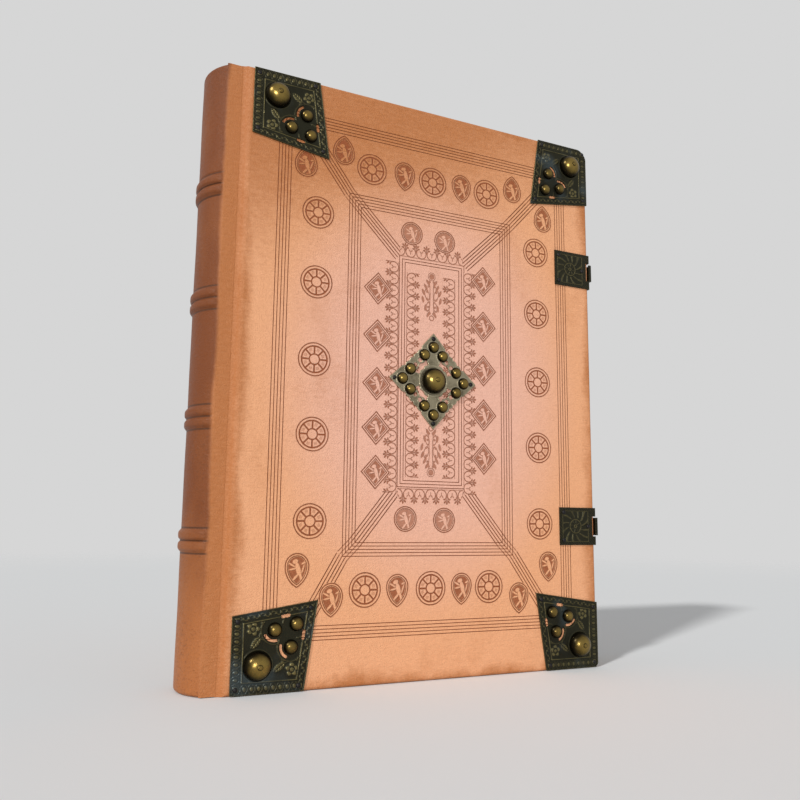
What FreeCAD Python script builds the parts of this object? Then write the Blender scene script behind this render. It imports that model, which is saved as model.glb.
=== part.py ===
import FreeCAD, Part

import math
import os

from FreeCAD import Vector

# A large leather-bound codex that stands on its tail edges.
# Sizes are in millimetres. While it is drawn, x runs from the boards' spine edge to the fore-edge,
# y from the front cover's outer face to the back cover's, and z from the tail edge to the head.

# Overall sizes
cover_height = 380.0
cover_width = 266.0
book_thickness = 50.0
cover_thickness = 8.0

# Covering leather and paper
leather = 1.2
turn_in_thickness = 0.6
turn_in_width = 18.0
paper = 0.25
leather_border = 4.0
edge_radius = 2.0
inner_edge_chamfer = 0.5
tail_corner_radius = 3.0
head_corner_radius = 8.0

# Joint between a cover and the spine
joint_width = 8.0
joint_depth = 3.0
joint_gap = 0.5
bevel_width = 6.8

# Rounded spine with double raised bands
spine_round = 10.2
band_count = 4
band_first = 85.7
band_pitch = 71.7
band_half_width = 3.25
band_height = 1.6
band_end_angle = 1.5
band_facets = 4
band_web = 0.15
spine_steps = 18
cap_depth = 5.0
glue_gap = 0.3

# Text block
square = 5.0
block_gap = 0.35
shoulder_gap = 0.9
fore_edge_hollow = 5.0
endband_radius = 1.7
endband_half_height = 18.0
endband_sides = 8

# Thong ends laced into the boards, and their pegs
slip_length = 28.0
slip_width = 12.0
slip_thickness = 1.6
slip_depth = 4.6
peg_size = 4.4
peg_reach = 21.0
fit_gap = 0.05

# Corner plates with their bosses
plate_thickness = 0.8
plate_inset = 0.3
plate_side = 43.5
plate_tip = 51.0
plate_spine_edge = 7.4
plate_border = 6.3
plate_inner_border = 5.0
rim_width = 0.8
rim_height = 0.4
dome_levels = 4
dome_top_share = 0.16
large_boss_sides = 24
small_boss_sides = 12
small_boss_radius = 4.3
small_boss_height = 3.3
small_boss_near = 25.0
small_boss_far = 35.0
small_boss_tip = 38.0
large_boss_radius = 8.3
large_boss_height = 6.6
large_boss_place = 15.5
large_boss_wall = 0.8
kidney_inner = 5.3
kidney_outer = 6.9
kidney_angle = 86.0
slot_length = 5.4
slot_width = 2.2
slot_near = 31.5
slot_far = 42.6

# Lines and stamps tooled into the front cover's leather
line_width = 0.5
line_depth = 0.3
line_pitch = 2.05
frame_lines = 5
panel_lines = 3
outer_frame_insets = (25.1, 21.4, 28.1, 23.0)
inner_frame_insets = (73.4, 69.4, 76.6, 71.0)
panel_insets = (109.8, 107.0, 119.8, 107.4)
wheel_radius = 10.6
wheel_rim = 1.5
wheel_hub = 3.4
wheel_spokes = 8
spoke_width = 1.3
stamp_depth = 0.3
wheel_sides = 16
side_wheel_insets = (52.2, 47.0)
side_wheel_steps = (-92.5, -40.0, 6.5, 56.0, 101.8)
end_wheel_insets = (56.3, 51.6)
end_wheel_steps = (-44.1, 1.4, 44.7)

# Centre plate
centre_half = 32.0
centre_thickness = 0.9
centre_shift = 2.2
centre_boss_radius = 8.6
centre_boss_height = 6.8
centre_ring_radius = 10.4
centre_opening_outer = 14.2
centre_opening_angle = 54.0
petal_boss_radius = 3.9
petal_boss_height = 3.0
petal_tip = 22.7
petal_side = 6.7
petal_back = 17.0
scallop_radius = 3.4
scallop_reach = 2.0
scallop_shift = 1.2
centre_point_length = 7.5
centre_point_half = 6.7
scallop_count = 6
scallop_sides = 12
centre_nail_place = 28.4

# Nails and rivets
nail_head_radius = 1.5
nail_head_height = 0.8
nail_head_levels = ((0.0, 1.0), (0.6, 0.8), (1.0, 0.35))
nail_size = 1.0
nail_length = 5.0
nail_sides = 8
nail_edge = 3.2
nail_tip_edge = 4.3
rivet_head_radius = 1.7
rivet_size = 1.3

# Catch plates on the front cover
clasp_inset = 96.2
catch_length = 30.5
catch_height = 26.0
catch_thickness = 0.85
catch_bend_radius = 0.75
catch_flange = 5.0
catch_gap = 0.05
window_inset = 2.4
window_height = 14.0
window_drop = 3.4
catch_nail_edge = 3.4
catch_nail_inset = 6.1

# Clasps: a strap from the back cover with a hook at its end
hook_gap = 0.35
finger_length = 1.6
finger_thickness = 1.0
finger_depth = 0.3
finger_width = 12.4
throat_length = 6.0
shoulder_length = 5.0
hook_thickness = 1.0
hook_length = 26.0
hook_width = 19.0
strap_width = 15.0
strap_thickness = 2.0
strap_end = 10.5
strap_start = 1.5
strap_anchor = 26.0
hook_rivet_places = (15.5, 21.5)
strap_nail_places = (6.0, 13.5, 21.0)

# Places that follow the cover's size
centre_x = cover_width / 2 + centre_shift
clasp_z = (clasp_inset, cover_height - clasp_inset)

# Circle of the spine's outer face, through both creases
half_spine = book_thickness / 2 - joint_depth
spine_radius = (half_spine ** 2 + spine_round ** 2) / (2 * spine_round)
spine_centre = Vector(spine_radius - joint_width - spine_round, book_thickness / 2, 0)
lining_radius = spine_radius - leather
block_radius = lining_radius - glue_gap
spine_angle = math.degrees(math.asin(half_spine / spine_radius))

# The origin lies under the middle of the whole book
reach_left = joint_width + spine_round + band_height
hook_face = catch_gap + catch_thickness + hook_gap + finger_length
reach_right = cover_width + hook_face + hook_thickness + nail_head_height
highest_boss = max(plate_thickness + large_boss_height, centre_thickness + centre_boss_height)
reach_front = highest_boss + nail_head_height
reach_back = book_thickness + strap_thickness + nail_head_height
origin = Vector((reach_right - reach_left) / 2, (reach_back - reach_front) / 2, 0)

UP = Vector(0, 0, 1)
OUT = Vector(0, -1, 0)


def export(name, shape):
    """Writes one node, moved so that the origin is under the book's middle."""
    placed = shape.copy()
    placed.translate(-origin)
    placed.exportStep(os.path.join("parts", name + ".step"))


def box(x, y, z):
    """A block between pairs of x, y and z values."""
    return Part.makeBox(x[1] - x[0], y[1] - y[0], z[1] - z[0], Vector(x[0], y[0], z[0]))


def fused(shapes):
    """All the shapes as one."""
    whole = shapes[0]
    for shape in shapes[1:]:
        whole = whole.fuse(shape)
    return whole.removeSplitter()


def line(a, b):
    """A straight edge between two points."""
    return Part.LineSegment(a, b).toShape()


def arc(a, middle, b):
    """A round edge through three points."""
    return Part.Arc(a, middle, b).toShape()


def prism(edges, height):
    """A solid from a closed outline of edges, carried along a vector."""
    return Part.Face(Part.Wire(Part.__sortEdges__(edges))).extrude(height)


def ring_points(place, direction, radius, sides):
    """Corners of a regular outline round a point, square to a direction."""
    across = direction.cross(UP)
    points = []
    for number in range(sides):
        angle = 2 * math.pi * (number + 0.5) / sides
        points.append(place + across * radius * math.cos(angle) + UP * radius * math.sin(angle))
    return points


def closed(points):
    """A flat face inside a closed outline of points."""
    return Part.Face(Part.makePolygon(points + points[:1]))


def polygon(place, direction, radius, sides):
    """A flat regular face round a point, square to a direction."""
    return closed(ring_points(place, direction, radius, sides))


def faceted(rings):
    """A solid with flat facets between rings of points, closed at its first and last ring."""
    faces = [closed(rings[0]), closed(rings[-1])]
    for low, high in zip(rings[:-1], rings[1:]):
        for number in range(len(low)):
            faces.append(closed([low[number - 1], low[number], high[number], high[number - 1]]))
    solid = Part.Solid(Part.Shell(faces))
    if solid.Volume < 0:
        solid.reverse()
    return solid


def square_bar(place, direction, size, length):
    """A square bar from a place along a direction, such as a forged shank or the hole for one."""
    return polygon(place, direction, size * math.sqrt(0.5), 4).extrude(direction * length)


def groove_box(start, end, width, depth):
    """A narrow straight cut in the front cover's face between two points."""
    along = (end - start).normalize()
    side = along.cross(OUT) * width / 2
    low = Vector(0, depth, 0)
    corners = [start - side + low, start + side + low, end + side + low, end - side + low]
    return closed(corners).extrude(OUT * (depth + 1))


def to_back(shape):
    """The same piece for the back cover, mirrored in the book's middle plane."""
    return shape.mirror(Vector(0, book_thickness / 2, 0), Vector(0, 1, 0))


def cover_outline(inset):
    """The cover seen from the front, drawn in from its three free edges."""
    right = cover_width - inset
    low = inset
    high = cover_height - inset
    r_tail = tail_corner_radius - inset
    r_head = head_corner_radius - inset
    bow = 1 - math.sqrt(0.5)
    edges = [
        line(Vector(0, 0, low), Vector(right - r_tail, 0, low)),
        arc(
            Vector(right - r_tail, 0, low),
            Vector(right - bow * r_tail, 0, low + bow * r_tail),
            Vector(right, 0, low + r_tail),
        ),
        line(Vector(right, 0, low + r_tail), Vector(right, 0, high - r_head)),
        arc(
            Vector(right, 0, high - r_head),
            Vector(right - bow * r_head, 0, high - bow * r_head),
            Vector(right - r_head, 0, high),
        ),
        line(Vector(right - r_head, 0, high), Vector(0, 0, high)),
        line(Vector(0, 0, high), Vector(0, 0, low)),
    ]
    return edges


def bevel_tool(depth):
    """What the moulded joint takes off a cover, for a face that lies depth under the leather's."""
    rise = joint_depth
    radius = (bevel_width ** 2 + rise ** 2) / (4 * rise)
    turn = math.asin(bevel_width / 2 / radius)
    hollow = radius + depth
    swell = radius - depth
    foot = Vector(0, rise - radius, 0)
    top = Vector(bevel_width, radius, 0)

    def low(angle):
        return foot + Vector(hollow * math.sin(angle), hollow * math.cos(angle), 0)

    def high(angle):
        return top - Vector(swell * math.sin(angle), swell * math.cos(angle), 0)

    above = -cover_thickness
    edges = [
        arc(low(0), low(turn / 2), low(turn)),
        arc(high(turn), high(turn / 2), high(0)),
        line(high(0), Vector(bevel_width, above, 0)),
        line(Vector(bevel_width, above, 0), Vector(-joint_width, above, 0)),
        line(Vector(-joint_width, above, 0), Vector(-joint_width, low(0).y, 0)),
        line(Vector(-joint_width, low(0).y, 0), low(0)),
    ]
    tool = prism(edges, UP * (cover_height + 2 * square))
    tool.translate(Vector(0, 0, -square))
    return tool


def cover_block(inset, face, inner, face_round, inner_chamfer):
    """A cover-shaped solid between two depths, with eased edges and the joint's bevel."""
    block = prism(cover_outline(inset), Vector(0, inner - face, 0))
    block.translate(Vector(0, face, 0))

    def rim(depth):
        found = []
        for edge in block.Edges:
            limits = edge.BoundBox
            flat = abs(limits.YMin - depth) < 1e-6 and abs(limits.YMax - depth) < 1e-6
            if flat and limits.XMax > 1e-6:
                found.append(edge)
        return found

    if inner_chamfer:
        block = block.makeFillet(face_round, rim(face))
        block = block.makeChamfer(inner_chamfer, rim(inner))
    else:
        block = block.makeChamfer(face_round, rim(face))
    return block.cut(bevel_tool(face))


def tunnels(gap):
    """The laced thong ends, or with a gap the tunnels that they lie in."""
    found = []
    for number in range(band_count):
        middle = band_first + number * band_pitch
        half = slip_width / 2 + gap
        found.append(
            box(
                (0, slip_length + gap),
                (slip_depth - gap, slip_depth + slip_thickness + gap),
                (middle - half, middle + half),
            )
        )
    return found


def peg_solids(size, start):
    """The square wooden pegs that wedge the thong ends, driven in from the cover's inner side."""
    found = []
    for number in range(band_count):
        middle = band_first + number * band_pitch
        base = Vector(peg_reach, start, middle)
        length = cover_thickness - turn_in_thickness - start
        found.append(square_bar(base, -OUT, size, length))
    return found


def covers():
    """Board, covering leather, pastedown, thong ends and pegs of the front and back covers."""
    core_inner = cover_thickness - turn_in_thickness
    envelope = cover_block(0, 0, cover_thickness, edge_radius, inner_edge_chamfer)
    core = cover_block(leather, leather, core_inner, edge_radius - leather, 0)
    window = box(
        (-1, cover_width - turn_in_width),
        (core_inner, cover_thickness + 1),
        (turn_in_width, cover_height - turn_in_width),
    )
    skin = envelope.cut(core).cut(window)

    slips = Part.Compound(tunnels(0))
    peg_top = slip_depth - slip_thickness
    board = core
    for tool in tunnels(fit_gap) + peg_solids(peg_size + 2 * fit_gap, peg_top - fit_gap):
        board = board.cut(tool)
    pegs = Part.Compound(peg_solids(peg_size, peg_top))
    holed_slips = slips.cut(Part.Compound(peg_solids(peg_size + 2 * fit_gap, peg_top)))

    infill = box(
        (joint_gap, cover_width - turn_in_width - fit_gap),
        (core_inner, cover_thickness),
        (turn_in_width + fit_gap, cover_height - turn_in_width - fit_gap),
    )
    sheet = box(
        (joint_gap, cover_width - leather_border),
        (cover_thickness, cover_thickness + paper),
        (leather_border, cover_height - leather_border),
    )
    pastedown = infill.fuse(sheet).removeSplitter()
    for name, shape in (
        ("board", board),
        ("leather", skin),
        ("pastedown", pastedown),
        ("thong_ends", holed_slips),
        ("pegs", pegs),
    ):
        export("back_" + name, to_back(shape))
        if shape is skin:
            shape = shape.cut(tooling())
        export("front_" + name, shape)


def frame_sides(insets):
    """Pairs of x and z values of a frame, from its insets at spine, fore-edge, tail and head."""
    return (insets[0], cover_width - insets[1]), (insets[2], cover_height - insets[3])


def frame_grooves(insets, count):
    """Nested rectangular lines, from the outermost inwards."""
    x, z = frame_sides(insets)
    found = []
    for number in range(count):
        step = number * line_pitch
        outer = box(
            (x[0] + step - line_width / 2, x[1] - step + line_width / 2),
            (-1, line_depth),
            (z[0] + step - line_width / 2, z[1] - step + line_width / 2),
        )
        inner = box(
            (x[0] + step + line_width / 2, x[1] - step - line_width / 2),
            (-2, line_depth + 1),
            (z[0] + step + line_width / 2, z[1] - step - line_width / 2),
        )
        found.append(outer.cut(inner))
    return found


def diagonal_grooves():
    """Bands of lines from the corner plates to the inner frame, and on to the middle panel."""
    plate_low = plate_inset + plate_tip
    plate_left = plate_spine_edge + plate_tip
    plate_right = cover_width - plate_inset - plate_tip
    inset = (frame_lines - 1) * line_pitch
    band = (frame_lines - 1) * line_pitch
    frame_x, frame_z = frame_sides(inner_frame_insets)
    panel_x, panel_z = frame_sides(panel_insets)
    found = []
    for side in (0, 1):
        towards = 1 - 2 * side
        for end in (0, 1):
            up = 1 - 2 * end
            plate = Vector(plate_left if side == 0 else plate_right, 0, plate_low)
            if end:
                plate.z = cover_height - plate_low
            frame = Vector(frame_x[side], 0, frame_z[end])
            inside = frame + Vector(towards * inset, 0, up * inset)
            panel = Vector(panel_x[side], 0, panel_z[end])
            for start, stop in ((plate, frame), (inside, panel)):
                along = (stop - start).normalize()
                across = along.cross(OUT)
                trim = line_pitch * 2
                for number in range(frame_lines):
                    shift = across * (number * line_pitch - band / 2)
                    found.append(
                        groove_box(
                            start + along * trim + shift,
                            stop - along * trim + shift,
                            line_width,
                            line_depth,
                        )
                    )
    return found


def wheel_stamps():
    """Round stamps: a sunk wheel whose hub and petals between the spokes stay raised."""
    middle = Vector(0, 0, 0)
    inside = wheel_radius - wheel_rim
    ground = polygon(middle - OUT * stamp_depth, OUT, inside, wheel_sides)
    ground = ground.extrude(OUT * (stamp_depth + 1))
    hub = polygon(middle - OUT * stamp_depth, OUT, wheel_hub, wheel_spokes)
    ground = ground.cut(hub.extrude(OUT * (stamp_depth + 1)))
    near = wheel_hub + spoke_width
    far = inside - spoke_width
    for number in range(wheel_spokes):
        turn = 360 * (number + 0.5) / wheel_spokes
        near_half = near * math.tan(math.pi / wheel_spokes) - spoke_width / 2
        far_half = far * math.tan(math.pi / wheel_spokes) - spoke_width / 2
        corners = [
            Vector(near, stamp_depth, -near_half),
            Vector(far - spoke_width / 2, stamp_depth, -far_half),
            Vector(far, stamp_depth, 0),
            Vector(far - spoke_width / 2, stamp_depth, far_half),
            Vector(near, stamp_depth, near_half),
        ]
        petal = closed(corners).extrude(OUT * (stamp_depth + 1))
        petal.rotate(middle, OUT, turn)
        ground = ground.cut(petal)
    middle_x = cover_width / 2
    middle_z = cover_height / 2
    columns = (side_wheel_insets[0], cover_width - side_wheel_insets[1])
    rows = (end_wheel_insets[0], cover_height - end_wheel_insets[1])
    places = [(x, middle_z + step) for x in columns for step in side_wheel_steps]
    places += [(middle_x + step, z) for z in rows for step in end_wheel_steps]
    found = []
    for x, z in places:
        stamp = ground.copy()
        stamp.translate(Vector(x, 0, z))
        found.append(stamp)
    return found


def tooling():
    """Everything that is pressed into the front cover's leather."""
    cuts = frame_grooves(outer_frame_insets, frame_lines)
    cuts += frame_grooves(inner_frame_insets, frame_lines)
    cuts += frame_grooves(panel_insets, panel_lines)
    cuts += diagonal_grooves()
    cuts += wheel_stamps()
    return cuts


def spine_angles(end_angle):
    """Angles round the spine's axis, in degrees, that stop short of both creases by an angle."""
    end = spine_angle - end_angle
    steps = [spine_angle * (2 * step / spine_steps - 1) for step in range(1, spine_steps)]
    return [-end] + [angle for angle in steps if abs(angle) < end] + [end]


def bent(section, end_angle):
    """A section at the spine's middle, bent round the spine's axis in short straight facets."""
    rings = []
    for angle in spine_angles(end_angle):
        turn = FreeCAD.Rotation(UP, angle)
        rings.append([spine_centre + turn.multVec(point - spine_centre) for point in section])
    return faceted(rings)


def spine_line(radius):
    """Points round the spine at one distance from its axis, from the front crease to the back one."""
    points = []
    for angle in spine_angles(0):
        turn = FreeCAD.Rotation(UP, -angle)
        points.append(spine_centre + turn.multVec(Vector(-radius, 0, 0)))
    return points


def band_arc(middle, inward, start_radius, end_radius):
    """Points over one thong's rounded top, drawn in by a thickness, between two distances from the axis."""
    full = (band_half_width ** 2 + band_height ** 2) / (2 * band_height)
    radius = full - inward
    centre_r = spine_radius + band_height - full
    start = -math.acos((start_radius - centre_r) / radius)
    end = math.acos((end_radius - centre_r) / radius)
    points = []
    for number in range(band_facets + 1):
        angle = start + (end - start) * number / band_facets
        x = spine_centre.x - centre_r - radius * math.cos(angle)
        points.append(Vector(x, spine_centre.y, middle + radius * math.sin(angle)))
    return points


def band_middles(number):
    """Heights of the two thongs of one double band."""
    middle = band_first + number * band_pitch
    return (middle - band_half_width, middle + band_half_width)


def spine_leather():
    """The leather over the rounded spine, with double raised bands and a cap at each end."""
    start = -joint_gap
    front = joint_depth
    back = book_thickness - joint_depth
    inner_x = spine_centre.x - math.sqrt(lining_radius ** 2 - (half_spine - leather) ** 2)
    outer = [Vector(start, front, 0)] + spine_line(spine_radius) + [Vector(start, back, 0)]
    inner = [Vector(start, front + leather, 0), Vector(inner_x, front + leather, 0)]
    inner += spine_line(lining_radius)[1:-1]
    inner += [Vector(inner_x, back - leather, 0), Vector(start, back - leather, 0)]
    shell = closed(outer + inner[::-1]).extrude(UP * cover_height)

    cap = closed(outer).extrude(UP * leather)
    bore = Part.makeCylinder(lining_radius + leather - cap_depth, cover_height, spine_centre)
    cap = cap.cut(bore)
    head_cap = cap.copy()
    head_cap.translate(UP * (cover_height - leather))
    skin = shell.fuse(cap).fuse(head_cap)

    floor = spine_radius - leather / 2
    cavity_floor = lining_radius - leather / 2
    cavities = []
    for number in range(band_count):
        low, high = band_middles(number)
        section = band_arc(low, 0, floor, spine_radius)
        section += band_arc(high, 0, spine_radius, floor)[1:]
        skin = skin.fuse(bent(section, band_end_angle))
        hollow = band_arc(low, leather, cavity_floor, lining_radius + band_web)
        hollow += band_arc(high, leather, lining_radius + band_web, cavity_floor)
        cavities.append(bent(hollow, 2 * band_end_angle))
    for cavity in cavities:
        skin = skin.cut(cavity)
    export("spine_leather", skin.removeSplitter())


def sewing_bands():
    """One double thong for each raised band, lying on the text block's back."""
    for number in range(band_count):
        thongs = []
        for middle in band_middles(number):
            section = band_arc(middle, leather + glue_gap, lining_radius, lining_radius)
            thongs.append(bent(section, 3 * band_end_angle))
        export("sewing_band_%d" % (number + 1), Part.Compound(thongs))


def text_block():
    """The sewn leaves as one solid: rounded back, shoulders and hollow fore-edge."""
    front = cover_thickness + paper + block_gap
    back = book_thickness - front
    right = cover_width - square
    shoulder = -shoulder_gap
    lip_front = joint_depth + leather + glue_gap
    lip_back = book_thickness - lip_front
    lip_half = book_thickness / 2 - lip_front
    lip_x = spine_centre.x - math.sqrt(block_radius ** 2 - lip_half ** 2)
    middle_y = book_thickness / 2
    edges = [
        line(Vector(shoulder, front, 0), Vector(right, front, 0)),
        arc(
            Vector(right, front, 0),
            Vector(right - fore_edge_hollow, middle_y, 0),
            Vector(right, back, 0),
        ),
        line(Vector(right, back, 0), Vector(shoulder, back, 0)),
        line(Vector(shoulder, back, 0), Vector(shoulder, lip_back, 0)),
        line(Vector(shoulder, lip_back, 0), Vector(lip_x, lip_back, 0)),
        arc(
            Vector(lip_x, lip_back, 0),
            Vector(spine_centre.x - block_radius, middle_y, 0),
            Vector(lip_x, lip_front, 0),
        ),
        line(Vector(lip_x, lip_front, 0), Vector(shoulder, lip_front, 0)),
        line(Vector(shoulder, lip_front, 0), Vector(shoulder, front, 0)),
    ]
    block = prism(edges, UP * (cover_height - 2 * square))
    block.translate(UP * square)
    export("text_block", block)


def endbands():
    """The wound cords that lie on the leaves under the spine's head and tail caps."""
    ring = lining_radius - glue_gap - endband_radius
    half = math.degrees(math.asin(endband_half_height / ring))
    for name, z in (
        ("tail_endband", square - endband_radius - glue_gap),
        ("head_endband", cover_height - square + endband_radius + glue_gap),
    ):
        place = Vector(spine_centre.x - ring, spine_centre.y, z)
        section = ring_points(place, OUT, endband_radius, endband_sides)
        export(name, bent(section, spine_angle - half))


def dome(place, radius, height, wall, sides):
    """A faceted round boss on the front cover, hollow where it has a wall."""
    ball = (radius ** 2 + height ** 2) / (2 * height)
    centre = place - OUT * (ball - height)
    rim_angle = math.acos((ball - height) / ball)

    def cap(size, lowest):
        rings = []
        for level in range(dome_levels):
            angle = lowest * (1 - (1 - dome_top_share) * level / (dome_levels - 1))
            middle = centre + OUT * size * math.cos(angle)
            rings.append(ring_points(middle, OUT, size * math.sin(angle), sides))
        return faceted(rings)

    boss = cap(ball, rim_angle)
    if wall:
        hollow = ball - wall
        boss = boss.cut(cap(hollow, math.acos((ball - height - wall) / hollow)))
    return boss


def nail(place, direction, head_radius, shank_size, length):
    """A forged nail or rivet whose faceted head sits on a surface, with its square shank going in."""
    rings = []
    for lift, share in nail_head_levels:
        middle = place + direction * nail_head_height * lift
        rings.append(ring_points(middle, direction, head_radius * share, nail_sides))
    head = faceted(rings)
    return head.fuse(square_bar(place, -direction, shank_size, length)).removeSplitter()


def kite(side, tip, inset, tip_inset):
    """Corners of a corner plate's outline, drawn in from its outer and inner sides."""
    near = inset
    lean = (tip - side) / tip
    far = side - tip_inset + lean * near
    point = tip - tip_inset * (1 + lean)
    return [(near, near), (far, near), (point, point), (near, far)]


def corner_plate(corner_radius):
    """An embossed plate for the tail corner at the spine side, with its face towards -y."""
    start = Vector(plate_spine_edge, 0, plate_inset)

    def at(u, v, depth=0.0):
        return start + Vector(u, depth, v)

    def slab(points, base, height):
        return closed([at(u, v, -base) for u, v in points]).extrude(OUT * height)

    plate = slab(kite(plate_side, plate_tip, 0, 0), 0, plate_thickness)
    if corner_radius:
        sharp = [
            e
            for e in plate.Edges
            if (e.CenterOfMass - at(0, 0, -plate_thickness / 2)).Length < 1e-3
        ]
        plate = plate.makeFillet(corner_radius, sharp)
    outside = kite(plate_side, plate_tip, plate_border, plate_inner_border)
    inside = kite(plate_side, plate_tip, plate_border + rim_width, plate_inner_border + rim_width)
    rim = slab(outside, plate_thickness, rim_height).cut(slab(inside, plate_thickness, rim_height))
    plate = plate.fuse(rim)

    small = (
        (small_boss_near, small_boss_far),
        (small_boss_far, small_boss_near),
        (small_boss_tip, small_boss_tip),
    )
    for u, v in small:
        raised = dome(at(u, v, -plate_thickness), small_boss_radius, small_boss_height, 0, small_boss_sides)
        plate = plate.fuse(raised)

    depth = plate_thickness + rim_height + 1
    for u, v in small[:2]:
        towards = math.degrees(math.atan2(large_boss_place - v, large_boss_place - u))
        first = towards - kidney_angle / 2
        ring = Part.makeCylinder(kidney_outer, depth, at(u, v, 0.5), OUT).cut(
            Part.makeCylinder(kidney_inner, depth, at(u, v, 0.5), OUT)
        )
        reach = 2 * kidney_outer
        first_rad = math.radians(first)
        last_rad = math.radians(first + kidney_angle)
        wedge = slab(
            [
                (u, v),
                (u + reach * math.cos(first_rad), v + reach * math.sin(first_rad)),
                (u + reach * math.cos(last_rad), v + reach * math.sin(last_rad)),
            ],
            -1,
            depth + 1,
        )
        plate = plate.cut(ring.common(wedge))
    lean = (plate_tip - plate_side) / plate_tip
    for u, v in ((slot_near, slot_far), (slot_far, slot_near)):
        along = slot_length / 2
        across = slot_width / 2
        if v > u:
            corners = [
                (u - along, v - across - lean * along),
                (u + along, v - across + lean * along),
                (u + along, v + across + lean * along),
                (u - along, v + across - lean * along),
            ]
        else:
            corners = [
                (u - across - lean * along, v - along),
                (u + across - lean * along, v - along),
                (u + across + lean * along, v + along),
                (u - across + lean * along, v + along),
            ]
        plate = plate.cut(slab(corners, -1, depth + 1))
    for place in corner_nail_places():
        hole = square_bar(at(place[0], place[1], 0.5), OUT, nail_size + 2 * fit_gap, depth)
        plate = plate.cut(hole)
    middle = at(large_boss_place, large_boss_place, 0.5)
    hole = square_bar(middle, OUT, rivet_size + 2 * fit_gap, depth)
    return plate.cut(hole).removeSplitter()


def corner_nail_places():
    """The four nails of a corner plate, one near each of its corners."""
    far = plate_side - nail_edge
    tip = plate_tip - nail_tip_edge
    return ((nail_edge, nail_edge), (far, nail_edge), (tip, tip), (nail_edge, far))


def corner_variants(shape):
    """A piece of the tail corner at the spine side, repeated for the four corners."""
    middle_x = (plate_spine_edge + cover_width - plate_inset) / 2
    right = shape.mirror(Vector(middle_x, 0, 0), Vector(1, 0, 0))
    middle_z = Vector(0, 0, cover_height / 2)
    return {
        "tail_spine": shape,
        "tail_fore": right,
        "head_spine": shape.mirror(middle_z, UP),
        "head_fore": right.mirror(middle_z, UP),
    }


def corner_fittings():
    """Four corner plates, each with a large riveted boss, and all their nails."""
    radii = {
        "tail_spine": 0,
        "tail_fore": tail_corner_radius - plate_inset,
        "head_spine": 0,
        "head_fore": head_corner_radius - plate_inset,
    }
    for corner, radius in radii.items():
        export("corner_plate_" + corner, corner_variants(corner_plate(radius))[corner])

    base = Vector(
        plate_spine_edge + large_boss_place, -plate_thickness, plate_inset + large_boss_place
    )
    boss = dome(base, large_boss_radius, large_boss_height, large_boss_wall, large_boss_sides)
    peak = base + OUT * large_boss_height
    through = square_bar(peak + OUT, -OUT, rivet_size + 2 * fit_gap, large_boss_height + 2)
    boss = boss.cut(through)
    for corner, shape in corner_variants(boss).items():
        export("corner_boss_" + corner, shape)

    rivet = nail(
        peak,
        OUT,
        rivet_head_radius,
        rivet_size,
        large_boss_height + plate_thickness + nail_length,
    )
    export("corner_boss_rivets", Part.Compound(list(corner_variants(rivet).values())))
    nails = []
    for u, v in corner_nail_places():
        place = Vector(plate_spine_edge + u, -plate_thickness, plate_inset + v)
        one = nail(place, OUT, nail_head_radius, nail_size, plate_thickness + nail_length)
        nails.extend(corner_variants(one).values())
    export("corner_nails", Part.Compound(nails))


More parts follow.
